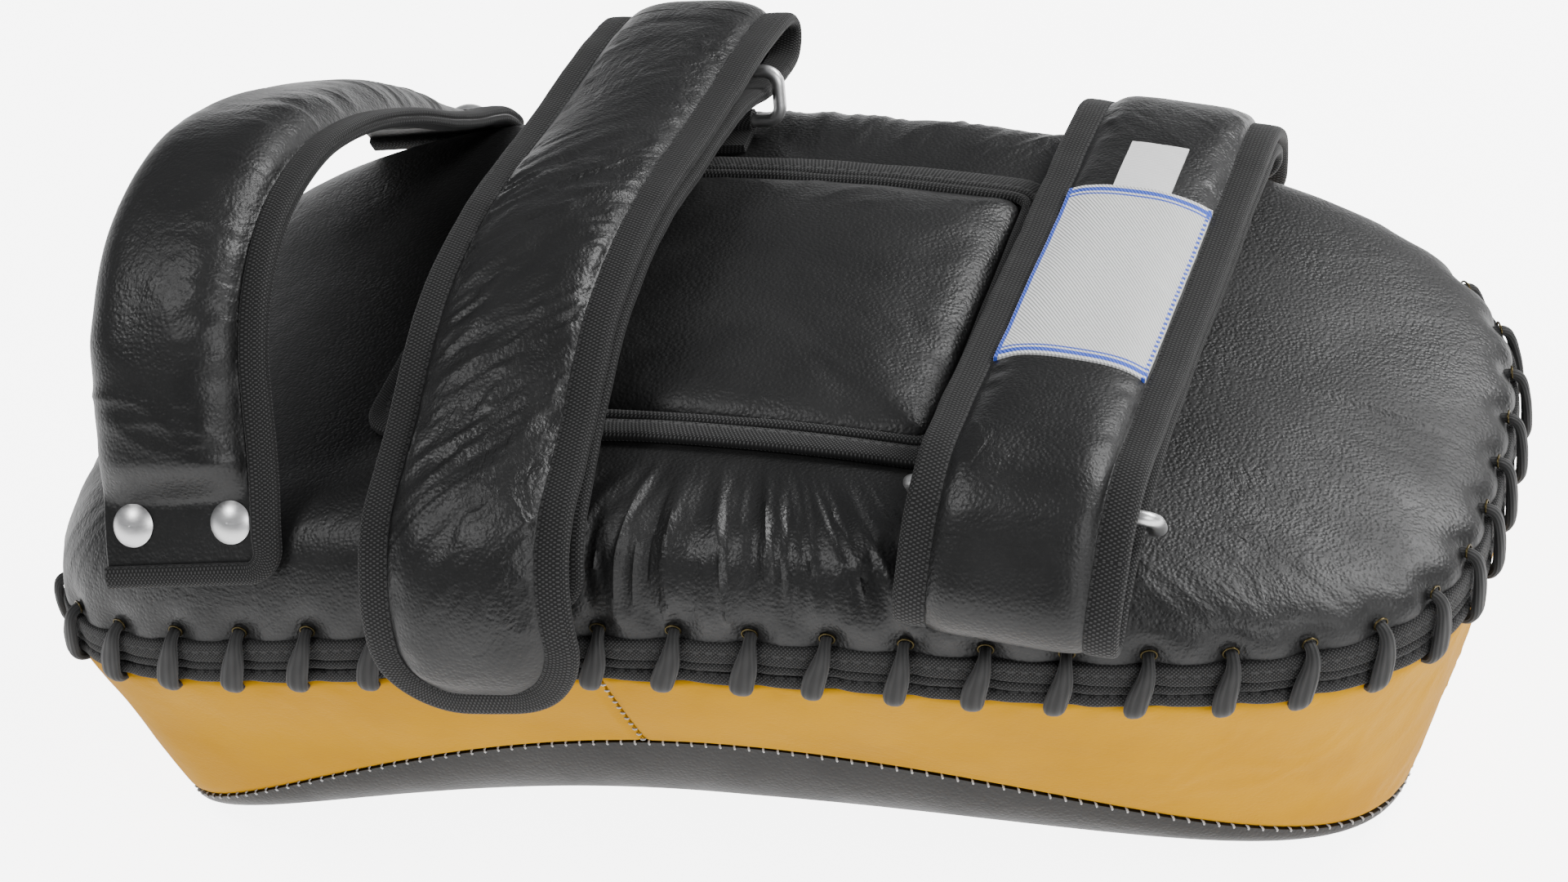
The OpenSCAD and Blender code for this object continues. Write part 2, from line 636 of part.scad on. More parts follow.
grip_route = [
    [-105.6, 18.6, 0], [-102.4, 25.8, 0], [-98.2, 32.8, 0], [-93.4, 39.8, 0], [-88.5, 48, 0.3], [-83, 59, 1],
    [-75.5, 71, 1], [-65, 80.6, 1], [-51, 87, 1], [-33, 89.6, 1], [-10, 87.4, 1], [16, 78.4, 1],
    [42, 64.4, 1], [62, 51, 0.3], [76, 42.6, 0], [87, 37, 0], [95.2, 32.2, 0], [101.3, 25.8, 0],
    [105, 18.6, 0]];
grip_curve = whole(grip_route);
grip_tilt = -6;
grip_pivot = 28;
grip_skin = 2;
grip_tape_w = 7;
near_rivets = 2;       // which points of the route carry the rivets
far_rivets = 16;
rivet_shift = -2.3;    // the rivets sit in the middle of the leather beside the tape
rivet_post_d = 4;
rivet_dome_h = 2.2;
cap_gap = 0.25;        // the band curves a little away under the flat of a cap

module place_grip() {
    translate([-grip_x, 0, rim_base + grip_pivot]) rotate([0, grip_tilt, 0])
        translate([0, 0, -grip_pivot]) children();
}

// Turns to the outward normal of the grip at one of its points
module at_rivets(row) {
    v = grip_route[row + 1] - grip_route[row - 1];
    for (s = [-1, 1])
        translate([rivet_shift + s * rivet_pitch / 2, grip_route[row][0], grip_route[row][1]])
            rotate([atan2(v[1], v[0]), 0, 0]) children();
}

module grip_cover() {
    color(leather) place_grip() difference() {
        union() {
            translate([-tape_t / 2, 0, 0]) band(grip_curve, -half_t, half_t, grip_w - tape_t);
            translate([-grip_tape_w / 2 - 0.2, 0, 0])
                band(grip_curve, 0, half_t, grip_w - grip_tape_w - 0.4, 0, grip_t - strap_t);
        }
        grip_pocket(0.1);
        for (row = [near_rivets, far_rivets]) at_rivets(row)
            cylinder(h = 12, d = rivet_post_d + 0.1, center = true, $fn = 32);
    }
}

module grip_pocket(grow) {
    padded = stretch(grip_curve[0], 5 * curve_steps, 12 * curve_steps);
    translate([-grip_tape_w / 2, 0, 0])
        band(padded, -half_t + grip_skin - grow, half_t + grip_t - strap_t - grip_skin + grow,
            grip_w - grip_tape_w - 2 * grip_skin + 2 * grow);
}

module grip_foam() { color(foam_pale) place_grip() grip_pocket(0); }

// Binding tape folded round the grip's inner edge
module grip_tape() {
    color(woven) place_grip() translate([grip_w / 2 - grip_tape_w / 2, 0, 0]) difference() {
        band(grip_curve, -half_t - tape_t, half_t + tape_t, grip_tape_w);
        translate([-tape_t, 0, 0]) band(grip_curve, -half_t - 0.03, half_t + 0.03, grip_tape_w);
    }
}

module rivets(row) {
    ball_r = (pow(rivet_cap_d / 2, 2) + pow(rivet_dome_h, 2)) / (2 * rivet_dome_h);
    place_grip() at_rivets(row) {
        translate([0, 0, -half_t]) cylinder(h = strap_t + 0.6, d = rivet_post_d, $fn = 32);
        intersection() {
            translate([0, 0, half_t + rivet_dome_h - ball_r + cap_gap]) sphere(r = ball_r, $fn = 64);
            translate([0, 0, half_t + cap_gap])
                cylinder(h = rivet_dome_h, d = rivet_cap_d, $fn = 64);
        }
    }
}

module grip_rivets_near() { color(satin) rivets(near_rivets); }
module grip_rivets_far() { color(satin) rivets(far_rivets); }

strike_face();
side_band_grip_end();
side_band_elbow_end();
back_cover();
foam_strike_layer();
foam_core_layer();
foam_back_layer();
rim_binding_top();
rim_binding_middle();
rim_binding_low();
rim_lace();
cushion_cover();
cushion_foam();
cushion_binding();
cushion_piping();
strap_1_base();
strap_1_base_tape();
strap_1_fold();
strap_1_loop_patch();
strap_1_flap();
strap_1_flap_foam();
strap_1_flap_tape();
strap_1_hook_patch();
ring_1();
ring_1_keeper();
strap_2_base();
strap_2_base_tape();
strap_2_fold();
strap_2_loop_patch();
strap_2_flap();
strap_2_flap_foam();
strap_2_flap_tape();
strap_2_hook_patch();
ring_2();
ring_2_keeper();
woven_label();
size_tag();
grip_cover();
grip_foam();
grip_tape();
grip_rivets_near();
grip_rivets_far();
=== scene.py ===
# %% [markdown]
# # A laced thai pad
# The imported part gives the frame, the bodies and the pieces that stay as they are.
# Each cell below makes one group of real pieces, the way the pad is sewn: body,
# laced rim, cushion, straps, grip. Sizes are in millimetres, heights over the rim.

import math

import bpy
import numpy as np
from mathutils import Matrix, Vector
from mathutils.bvhtree import BVHTree


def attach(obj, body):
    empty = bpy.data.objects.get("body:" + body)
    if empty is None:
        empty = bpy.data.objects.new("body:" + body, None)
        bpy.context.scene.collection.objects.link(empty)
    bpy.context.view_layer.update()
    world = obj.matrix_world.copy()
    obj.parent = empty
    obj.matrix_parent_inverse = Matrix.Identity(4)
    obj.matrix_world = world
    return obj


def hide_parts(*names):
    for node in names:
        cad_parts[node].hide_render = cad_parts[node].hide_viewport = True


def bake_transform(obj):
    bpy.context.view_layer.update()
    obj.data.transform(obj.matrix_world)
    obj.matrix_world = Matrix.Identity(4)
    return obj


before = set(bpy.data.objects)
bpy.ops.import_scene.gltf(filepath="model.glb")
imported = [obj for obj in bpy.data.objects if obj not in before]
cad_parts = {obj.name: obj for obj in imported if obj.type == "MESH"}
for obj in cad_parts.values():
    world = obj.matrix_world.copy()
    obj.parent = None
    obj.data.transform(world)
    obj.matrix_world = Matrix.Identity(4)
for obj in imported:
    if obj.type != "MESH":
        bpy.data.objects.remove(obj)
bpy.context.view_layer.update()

# %% [markdown]
# ## The view
# A long lens from the grip end's near side, tilted as a hand-held camera is.

# %% Camera
AZIMUTH, ELEVATION, ROLL = (math.radians(a) for a in (19.62, 34.40, -8.32))
AIM = Vector((-0.002006, 0, 0.0930))
DISTANCE = 1.3038
back = Vector((math.sin(AZIMUTH) * math.cos(ELEVATION),
               -math.cos(AZIMUTH) * math.cos(ELEVATION), math.sin(ELEVATION)))
level = Vector((math.cos(AZIMUTH), math.sin(AZIMUTH), 0))
steep = back.cross(level)
right = level * math.cos(ROLL) + steep * math.sin(ROLL)
up = steep * math.cos(ROLL) - level * math.sin(ROLL)
bpy.ops.object.camera_add()
camera = bpy.context.object
camera.name = "camera"
turned = Matrix((right, up, back)).transposed().to_4x4()
camera.matrix_world = Matrix.Translation(AIM + back * DISTANCE) @ turned
camera.data.lens = 114.0
camera.data.sensor_width = 36
bpy.context.scene.camera = camera

# %% [markdown]
# ## Materials
# `Value` wraps a node's output, so that sums written as usual become nodes.

# %% Values and materials
class Value:
    """A number, colour or vector inside a material"""

    def __init__(self, tree, socket):
        self.tree, self.socket = tree, socket

    def node(self, kind, out=0, settings=None, **inputs):
        """Any other node of the same material; inputs are set or linked by name"""
        made = self.tree.nodes.new(kind)
        for key, value in (settings or {}).items():
            setattr(made, key, value)
        for key, value in inputs.items():
            key = int(key[1:]) if key[0] == "i" and key[1:].isdigit() else key.replace("_", " ")
            if isinstance(value, Value):
                self.tree.links.new(value.socket, made.inputs[key])
            else:
                made.inputs[key].default_value = value
        return Value(self.tree, made.outputs[out])

    def maths(self, operation, *others):
        inputs = {f"i{k + 1}": other for k, other in enumerate(others)}
        return self.node("ShaderNodeMath", settings={"operation": operation}, i0=self, **inputs)

    def __add__(self, other): return self.maths("ADD", other)
    def __sub__(self, other): return self.maths("SUBTRACT", other)
    def __mul__(self, other): return self.maths("MULTIPLY", other)

    def sine(self): return self.maths("SINE")

    def part(self, axis):
        """One axis of a vector"""
        return self.node("ShaderNodeSeparateXYZ", out="XYZ".index(axis), Vector=self)

    def ramp(self, low, high, start=0.0, end=1.0):
        """Goes smoothly from start to end as the value goes from low to high"""
        return self.node("ShaderNodeMapRange", settings={"interpolation_type": "SMOOTHSTEP"},
                         i0=self, i1=low, i2=high, i3=start, i4=end)

    def mix(self, first, second):
        """Between two colours, by this value"""
        return self.node("ShaderNodeMix", out=2, settings={"data_type": "RGBA"},
                         i0=self, i6=first, i7=second)

    def noise(self, scale, detail=4.0, rough=0.55, bend=0.0):
        return self.node("ShaderNodeTexNoise", Vector=self, Scale=scale, Detail=detail,
                         Roughness=rough, Distortion=bend)

    def cells(self, scale):
        return self.node("ShaderNodeTexVoronoi", out="Distance", Vector=self, Scale=scale)

    def stretched(self, scale, turn=(0, 0, 0)):
        return self.node("ShaderNodeMapping", Vector=self, Scale=scale, Rotation=turn)

    def line(self, at, half, soft):
        """1 within half of a place, fading to 0 over soft"""
        return (self - at).maths("ABSOLUTE").ramp(half, half + soft, 1, 0)

    def valley(self, wide):
        """0 where a noise crosses its middle, rising to 1"""
        return (self - 0.5).maths("ABSOLUTE").ramp(0.0, wide)

    def bump(self, strength, distance, under=None):
        inputs = {"Height": self, "Strength": strength, "Distance": distance}
        if under is not None:
            inputs["Normal"] = under
        return self.node("ShaderNodeBump", **inputs)


def rgb(red, green, blue):
    return (red, green, blue, 1)


def grey(level):
    return rgb(level, level, level)


class Material:
    """A new procedural material with its coordinates and its shader"""

    def __init__(self, name, **constants):
        self.made = bpy.data.materials.new(name)
        self.made.use_nodes = True
        self.tree = self.made.node_tree
        self.shader = self.tree.nodes["Principled BSDF"]
        self.set(**constants)
        place = self.tree.nodes.new("ShaderNodeTexCoord")
        self.object = Value(self.tree, place.outputs["Object"])
        self.flat = Value(self.tree, place.outputs["UV"])

    def set(self, **values):
        for key, value in values.items():
            socket = self.shader.inputs[key.replace("_", " ")]
            if isinstance(value, Value):
                self.tree.links.new(value.socket, socket)
            else:
                socket.default_value = value


def leather(name, dark, light, rough, grain, crease, specular=0.36, tilt=(0, 0, 0),
            stretch=(1, 1, 1)):
    """Finished hide: pebbled grain, fine creases and a patchy shine"""
    m = Material(name, Specular_IOR_Level=specular)
    p = m.object
    q = p.stretched(stretch, tilt)
    pebbles = p.cells(950).ramp(0.0, 0.75)
    pores = p.noise(2600, 2)
    folds = q.noise(46, 5, 0.6, 1.2).valley(0.09)
    hairlines = q.noise(150, 4, 0.62, 1.6).valley(0.07)
    where = p.noise(13, 3).ramp(0.46, 0.72)
    relief = (folds * where).bump(crease, 0.0008)
    relief = (hairlines * where).bump(crease * 0.6, 0.00025, relief)
    relief = (pebbles + pores * 0.5).bump(grain, 0.00021, relief)
    shine = p.noise(34, 4, 0.6).ramp(0.3, 0.75, rough - 0.06, rough + 0.09)
    m.set(Base_Color=p.noise(24, 4).ramp(0.3, 0.7).mix(dark, light),
          Roughness=shine + (pores - 0.5) * 0.08, Normal=relief)
    return m.made


THREAD_PITCH = 1.05     # of the tape's weave, in mm


def tape(name, rows=(), level=0.016, flat=True):
    """Woven nylon. Each row of stitches: height across the tape, pitch, half width, in mm"""
    m = Material(name, Roughness=0.8, Specular_IOR_Level=0.25, Sheen_Weight=0.06,
                 Sheen_Roughness=0.4)
    if flat:
        u, v = m.flat.part("X"), m.flat.part("Y")
    else:
        x, y, z = (m.object.part(axis) for axis in "XYZ")
        u, v = x * 1000 + z * 600, y * 1000 + z * 800
    turn = 2 * math.pi
    weave = (u * (turn / THREAD_PITCH)).sine() * (v * (turn / THREAD_PITCH)).sine() * 0.5 + 0.5
    colour = weave.ramp(0.5, 0.92).mix(grey(level * 0.4), grey(level * 2.9))
    height = weave
    for row, pitch, half in rows:
        near = v.line(row, half, 0.35)
        stitch = near * (u * (turn / pitch)).sine().ramp(-0.35, 0.25)
        colour = stitch.mix(colour, grey(level * 1.9))
        height = height - near * 0.8 + stitch * 1.2
    m.set(Base_Color=colour, Normal=height.bump(0.6, 0.00025))
    return m.made


black_leather = leather("black leather", grey(0.0055), grey(0.0100), 0.45, 0.42, 0.2)
face_leather = leather("striking face leather", grey(0.0060), grey(0.0090), 0.44, 0.3, 0.1)
strap_leather = leather("creased strap leather", grey(0.0045), grey(0.0085), 0.42, 0.38, 0.36,
                        tilt=(0.3, 0.2, 0.9), stretch=(1.0, 0.55, 0.7))
grip_leather = leather("grip leather", grey(0.0050), grey(0.0090), 0.42, 0.36, 0.2)
yellow_leather = leather("yellow leather", rgb(0.39, 0.187, 0.0), rgb(0.44, 0.217, 0.0),
                         0.55, 0.24, 0.1, specular=0.03)
strap_weave = tape("strap binding tape", ((5.4, 2.5, 0.24), (-5.4, 2.5, 0.24)))
rim_weave = tape("rim binding tape", ((1.2, 3.4, 0.18), (4.6, 3.4, 0.18)), 0.0145)
plain_weave = tape("keeper tape", flat=False)

m = Material("braided lace", Roughness=0.7, Specular_IOR_Level=0.35, Sheen_Weight=0.08)
u, v = m.flat.part("X"), m.flat.part("Y")
strand = (v * 11.5 + u * 0.32).sine() * 0.33 + (v * 4.2 - u * 0.5).sine() * 0.17 + 0.5
m.set(Base_Color=strand.ramp(0.1, 0.9).mix(grey(0.006), grey(0.017)),
      Normal=strand.bump(0.6, 0.0003))
braided = m.made

# The label's blue lines: a wide and a thin stripe at both ends, a line and dots on the sides
LABEL_HALF_LEN, LABEL_HALF_W = 45.0, 18.9
m = Material("white woven label", Roughness=0.62, Sheen_Weight=0.1)
u, v = m.flat.part("X"), m.flat.part("Y")
twill = ((u + v * 1.6) * 4.2).sine() * 0.5 + 0.5
from_end = (u.maths("ABSOLUTE") - LABEL_HALF_LEN) * -1.0
stripes = (from_end.ramp(1.0, 1.2) * from_end.ramp(2.9, 3.1, 1, 0)
           + from_end.ramp(3.9, 4.0) * from_end.ramp(4.7, 4.8, 1, 0))
side_line = v.line(0.5 - LABEL_HALF_W, 0.4, 0.15)
dots = v.line(LABEL_HALF_W - 0.6, 0.4, 0.15) * (u * 2.6).sine().ramp(-0.2, 0.2)
blue = stripes.maths("MAXIMUM", side_line).maths("MAXIMUM", dots)
cloth = twill.ramp(0.1, 0.8).mix(grey(0.60), grey(0.90))
m.set(Base_Color=blue.mix(cloth, rgb(0.035, 0.095, 0.62)), Normal=twill.bump(0.8, 0.0004))
label_weave = m.made

m = Material("white size tag", Roughness=0.7)
weft = (m.flat.part("X") * 7).sine() * 0.5 + 0.5
m.set(Base_Color=weft.mix(grey(0.68), grey(0.80)), Normal=weft.bump(0.3, 0.0002))
tag_weave = m.made

m = Material("satin nickel", Metallic=1.0)
brushed = m.object.stretched((1, 1, 12)).noise(420, 3)
m.set(Base_Color=brushed.mix(grey(0.60), grey(0.72)), Roughness=brushed.ramp(0.2, 0.8, 0.33, 0.44))
satin = m.made

m = Material("hook and loop tape", Roughness=0.95, Sheen_Weight=0.3)
loops = m.object.cells(1500)
m.set(Base_Color=loops.ramp(0, 0.6).mix(grey(0.006), grey(0.022)), Normal=loops.bump(0.9, 0.0006))
fuzzy = m.made


def foam(name, *colour):
    m = Material(name, Roughness=0.9)
    bubbles = m.object.cells(700)
    shade = rgb(*(0.8 * c for c in colour))
    m.set(Base_Color=bubbles.ramp(0, 0.5).mix(shade, rgb(*colour)),
          Normal=bubbles.bump(0.5, 0.0006))
    return m.made


soft_foam = foam("soft pale foam", 0.68, 0.66, 0.58)
firm_foam = foam("firm grey foam", 0.11, 0.13, 0.16)

m = Material("pale thread", Roughness=0.6)
ply = (m.flat.part("X") * 6 + m.flat.part("Y") * 3).sine() * 0.5 + 0.5
m.set(Base_Color=ply.mix(grey(0.34), grey(0.52)), Normal=ply.bump(0.5, 0.0001))
thread = m.made

m = Material("brass eyelet", Metallic=1.0)
# The brass is painted nearly black: painted shade for the punched holes the eyelets sit in.
m.set(Base_Color=m.object.noise(300).mix(rgb(0.045, 0.036, 0.016), rgb(0.085, 0.065, 0.028)),
      Roughness=m.object.noise(200).ramp(0.3, 0.7, 0.3, 0.45))
brass = m.made
print("materials ready")

# %% [markdown]
# ## Shapes from rings of points
# Every sewn piece is a closed skin through rings of points. The rings are worked
# out in millimetres, in the part's own frame.

# %% Helpers for skins
MM = 0.001
LIFT = 96.3849          # height of the rim's middle over the floor
CLOTH_STEPS = 20
rng = np.random.RandomState(7)


def smoothstep(low, high, value):
    share = np.clip((value - low) / (high - low), 0, 1)
    return share * share * (3 - 2 * share)


def lengths(points):
    """Length along a line of points, at each point"""
    return np.concatenate([[0], np.cumsum(np.linalg.norm(np.diff(points, axis=0), axis=1))])


def unit(vectors):
    return vectors / np.linalg.norm(vectors, axis=-1, keepdims=True)


def laid_flat(along, across):
    """Each grid point's place on the flat cloth, from its lengths along and across"""
    return np.stack(np.broadcast_arrays(along[:, None], across), -1)


def there_and_back(outside, inside):
    """Rows that run over the outer side of a sheet and back under it"""
    return np.concatenate([outside, inside[:, ::-1]], 1)


def waves(a, b, seed=0):
    """Smooth uneven waves between -1 and 1 over two numbers"""
    size = 97
    table = np.random.RandomState(seed).uniform(-1, 1, (size, size))
    i, j = np.floor(a).astype(int), np.floor(b).astype(int)
    p, q = a - i, b - j
    p, q = p * p * (3 - 2 * p), q * q * (3 - 2 * q)

    def corner(k, l):
        return table[(i + k) % size, (j + l) % size]

    return ((corner(0, 0) * (1 - p) + corner(1, 0) * p) * (1 - q)
            + (corner(0, 1) * (1 - p) + corner(1, 1) * p) * q)


def creases(a, b, seed=0):
    """Sharp valleys and soft ridges, as in soft hide"""
    bend = waves(a * 0.5, b * 0.5, seed + 5) * 0.9
    return 1 - np.abs(waves(a + bend, b + bend, seed)) ** 0.7 * 2


def pick(*pieces):
    bpy.ops.object.select_all(action="DESELECT")
    for piece in pieces:
        piece.select_set(True)
    bpy.context.view_layer.objects.active = pieces[0]


def read(items, key, size=1, kind=float):
    """One value of every item of a mesh, as an array"""
    values = np.zeros(len(items) * size, kind)
    items.foreach_get(key, values)
    return values if size == 1 else values.reshape(-1, size)


def make_piece(name, points, faces, flat, material, smooth):
    """A mesh from points in mm, each with its place on the flat cloth"""
    mesh = bpy.data.meshes.new(name)
    mesh.from_pydata(((np.asarray(points) + (0, 0, LIFT)) * MM).tolist(), [], faces)
    uv = mesh.uv_layers.new(name="UVMap")
    uv.data.foreach_set("uv", np.asarray(flat)[read(mesh.loops, "vertex_index", kind=int)].ravel())
    piece = bpy.data.objects.new(name, mesh)
    bpy.context.scene.collection.objects.link(piece)
    pick(piece)
    bpy.ops.object.mode_set(mode="EDIT")
    bpy.ops.mesh.select_all(action="SELECT")
    bpy.ops.mesh.normals_make_consistent(inside=False)
    bpy.ops.object.mode_set(mode="OBJECT")
    bpy.ops.object.shade_smooth_by_angle(angle=math.radians(smooth))
    mesh.materials.append(material)
    return piece


def skin(name, rings, material, flat=None, hoop=False, smooth=50):
    """A closed skin through rings of points; flat gives each point's place on the cloth"""
    rings = np.asarray(rings, float)
    rows, n = rings.shape[:2]
    if flat is None:
        flat = laid_flat(lengths(rings[:, 0]), lengths(rings[rows // 2]))
    faces = []
    for i in range(rows if hoop else rows - 1):
        for j in range(n):
            k, l = (i + 1) % rows, (j + 1) % n
            faces.append((i * n + j, i * n + l, k * n + l, k * n + j))
    if not hoop:
        for row, flip in ((0, True), (rows - 1, False)):
            for j in range(n // 2 - 1):
                face = [row * n + c for c in (j, j + 1, n - 2 - j, n - 1 - j)]
                faces.append(tuple(reversed(face)) if flip else tuple(face))
    return make_piece(name, rings.reshape(-1, 3), faces, flat.reshape(-1, 2), material,
                      smooth)


def apply_all(piece):
    pick(piece)
    for modifier in list(piece.modifiers):
        bpy.ops.object.modifier_apply(modifier=modifier.name)


def join(name, pieces):
    """Several loose bits of one kind become one piece"""
    pick(*pieces)
    if len(pieces) > 1:
        bpy.ops.object.join()
    pieces[0].name = name
    return pieces[0]


def coordinates(piece):
    return read(piece.data.vertices, "co", 3)


def vertex_normals(piece):
    return read(piece.data.vertices, "normal", 3)


def spots(piece):
    """Each vertex's place on the flat cloth, in mm"""
    found = np.zeros((len(piece.data.vertices), 2))
    index = read(piece.data.loops, "vertex_index", kind=int)
    found[index] = read(piece.data.uv_layers[0].data, "uv", 2)
    return found


def push(piece, amount):
    """Move each vertex out along its normal by an amount in mm"""
    moved = coordinates(piece) + vertex_normals(piece) * (np.asarray(amount) * MM)[:, None]
    piece.data.vertices.foreach_set("co", moved.ravel())
    piece.data.update()


def stuff(piece, held, pressure, most):
    """Blow a padded piece up with a short cloth run; held says how firmly each vertex stays"""
    before, out = coordinates(piece), vertex_normals(piece)
    pick(piece)
    group = piece.vertex_groups.new(name="sewn")
    for index, firm in enumerate(held):
        if firm > 0:
            group.add([index], float(firm), "REPLACE")
    blown = piece.modifiers.new("stuffing", "CLOTH")
    settings = blown.settings
    settings.quality = 6
    settings.mass = 0.3
    settings.tension_stiffness = settings.compression_stiffness = 18
    settings.shear_stiffness = 8
    settings.bending_stiffness = 0.6
    settings.use_pressure = True
    settings.uniform_pressure_force = pressure
    settings.vertex_group_mass = "sewn"
    settings.effector_weights.gravity = 0
    blown.collision_settings.use_collision = False
    blown.point_cache.frame_end = CLOTH_STEPS
    for step in range(1, CLOTH_STEPS + 1):
        bpy.context.scene.frame_set(step)
    bpy.ops.object.modifier_apply(modifier=blown.name)
    bpy.context.scene.frame_set(1)
    piece.vertex_groups.clear()
    # A soft cap on how far each vertex went, tighter for those that went in
    moved = coordinates(piece) - before
    length = np.linalg.norm(moved, axis=1)
    limit = most * MM
    shorter = limit * np.tanh(length / limit) / np.maximum(length, 1e-9)
    inward = (moved * out).sum(1) < 0
    moved = moved * np.where(inward, shorter * 0.3, shorter)[:, None]
    piece.data.vertices.foreach_set("co", (before + moved).ravel())
    piece.data.update()
    print(piece.name, "swelled by", round(float(length.max()) / MM, 1), "mm before the cap")


def subdivide(piece, levels):
    finer = piece.modifiers.new("finer", "SUBSURF")
    finer.levels = finer.render_levels = levels
    apply_all(piece)


def fill(piece, grown, held, pressure, most):
    """Stuff and refine a padded sheet; gives each vertex's flat place and how far it is on top"""
    stuff(piece, np.concatenate([held, np.ones_like(grown)], 1).ravel(), pressure, most)
    sides = np.concatenate([np.ones_like(grown), np.zeros_like(grown)], 1)
    mark = piece.data.attributes.new("top", "FLOAT", "POINT")
    mark.data.foreach_set("value", sides.ravel())
    subdivide(piece, 2)
    return spots(piece), read(piece.data.attributes["top"].data, "value")

# %% [markdown]
# ## Body
# The rim outline is square at the grip end and rounder at the elbow end. The back
# is a dome over it, the side band tapers in to the striking face.

# %% Outlines of the body
PAD_LEN, PAD_W = 372.0, 214.0
HALF_LEN, HALF_W = PAD_LEN / 2, PAD_W / 2
GRIP_SQUARE, ELBOW_SQUARE = 4.7, 3.3            # how square the rim is at either end
SEAM_LEN, SEAM_W, SEAM_SHIFT = 333.0, 163.0, 6.0
SEAM_GRIP_SQUARE, SEAM_ELBOW_SQUARE = 4.4, 2.55
BAND_TOP = 13.0         # height of the laced band over the rim's lower edge
DOME_POWER, DOME_ROOT = 13, 1 / 2.4
FACE_POWER, FACE_ROOT = 5, 0.45
TURNS = 53              # of the lace
BACK_T, LEATHER_T = 2.4, 2.2
CUSHION_HALF_LEN, CUSHION_HALF_W, CUSHION_CORNER, CUSHION_AT = 79, 65, 14, -14
# Arches drop towards both ends; a rise or fall runs from the grip end to the elbow end
RIM_ARCH, RIM_RISE = 20, 12
CROWN_H, CROWN_ARCH, CROWN_FALL = 40.5, 28, 9
BAND_H, SEAM_ARCH, SEAM_FALL = 41, 53, 6
BULGE, BULGE_END = 33, 12       # of the striking face under its seam


def reach(t, ha, hb, grip_square, elbow_square):
    power = np.where(np.cos(t) < 0, grip_square, elbow_square)
    return ((np.abs(np.cos(t)) / ha) ** power + (np.abs(np.sin(t)) / hb) ** power) ** (-1 / power)


def around(t, distance):
    return np.stack([distance * np.cos(t), distance * np.sin(t)], -1)


def rim_xy(t, grow=0.0):
    return around(t, reach(t, HALF_LEN + grow, HALF_W + grow, GRIP_SQUARE, ELBOW_SQUARE))


def seam_xy(t, grow=0.0):
    return around(t, reach(t, SEAM_LEN / 2 + grow, SEAM_W / 2 + grow,
                           SEAM_GRIP_SQUARE, SEAM_ELBOW_SQUARE)) - (SEAM_SHIFT, 0)


def rim_z(x):
    return -RIM_ARCH * (x / HALF_LEN) ** 2 + RIM_RISE * x / PAD_LEN


def crown_z(x):
    return CROWN_H - CROWN_ARCH * (x / HALF_LEN) ** 2 - CROWN_FALL * x / PAD_LEN


def seam_z(x):
    return -BAND_H - SEAM_ARCH * (x / (SEAM_LEN / 2)) ** 2 - SEAM_FALL * x / SEAM_LEN


def bulge(x):
    return BULGE - (BULGE - BULGE_END) * np.minimum(1, (x / (SEAM_LEN / 2)) ** 2) ** 0.8


def dome_z(x, rho, sink=0.0):
    """Height of the back at a share rho of the way out to the rim"""
    low = rim_z(x) + BAND_TOP
    return low + (crown_z(x) - sink - low) * np.maximum(0, 1 - rho ** DOME_POWER) ** DOME_ROOT


def back_z(x, y):
    power = np.where(x < 0, GRIP_SQUARE, ELBOW_SQUARE)
    share = (np.abs(x) / HALF_LEN) ** power + (np.abs(y) / HALF_W) ** power
    return dome_z(x, share ** (1 / power))


def raised(xy, z):
    """Points of a level outline, each at its own height"""
    return np.concatenate([xy, np.asarray(z)[..., None]], -1)


# Length along the rim at every fine step, to space things evenly along it
fine_t = np.linspace(0, 2 * np.pi, 2881)
rim_len = lengths(rim_xy(fine_t))
RIM_TOTAL = rim_len[-1]
PITCH = RIM_TOTAL / TURNS
hole_len = (np.arange(TURNS) + 0.05) * PITCH


def rim_turn(length):
    """Angle at a length along the rim, over any number of rounds"""
    rounds = np.floor(length / RIM_TOTAL)
    return np.interp(length - rounds * RIM_TOTAL, rim_len, fine_t) + rounds * 2 * np.pi


def grid_normals(grid):
    """Outward directions of a grid whose columns run round the pad"""
    along = np.roll(grid, -1, 1) - np.roll(grid, 1, 1)
    out = np.cross(along, np.gradient(grid, axis=0))
    return out / np.maximum(np.linalg.norm(out, axis=-1, keepdims=True), 1e-9)


# %% [markdown]
# ### Back cover
# One hide over the whole back. Folds stand on its long walls, gathers fan up from
# the lacing holes.

# %% Back cover
COLUMNS = 900
turn_len = np.arange(COLUMNS) * RIM_TOTAL / COLUMNS
turn_t = rim_turn(turn_len)
to_hole = np.abs((turn_len[:, None] - hole_len[None] + RIM_TOTAL / 2) % RIM_TOTAL
                 - RIM_TOTAL / 2).min(1)
heights = np.linspace(0, 0.955, 60)
wall = (1 - heights ** (1 / DOME_ROOT)) ** (1 / DOME_POWER)
shares = np.concatenate([wall, np.linspace(wall[-1], 0.02, 31)[1:]])


def back_ring(rho, sink=0.0):
    p = rho * rim_xy(turn_t, -sink)
    return raised(p, dome_z(p[:, 0], rho, sink))


outer = np.array([back_ring(rho) for rho in shares])
x, y = outer[:, :, 0], outer[:, :, 1]
s = np.broadcast_to(turn_len, x.shape)
round_in = np.cumsum(np.linalg.norm(np.diff(outer, axis=0, prepend=outer[:1]), axis=-1), axis=0)
# Upright folds on the long walls, strongest between the two straps and on the near side
strong = 0.10 + 0.90 * smoothstep(-60, -10, x) * (1 - smoothstep(55, 100, x))
strong = strong * (1 - 0.6 * smoothstep(-10, 10, y))
lift = smoothstep(1.0, 8, round_in) * (1 - smoothstep(30, 56, round_in))
folds = (creases(s / 7.5, round_in / 44, 3) * 0.6 + creases(s / 3.6, round_in / 26, 8) * 0.34
         + waves(s / 15, round_in / 30, 5) * 0.4)
relief = folds * strong * lift * 2.0
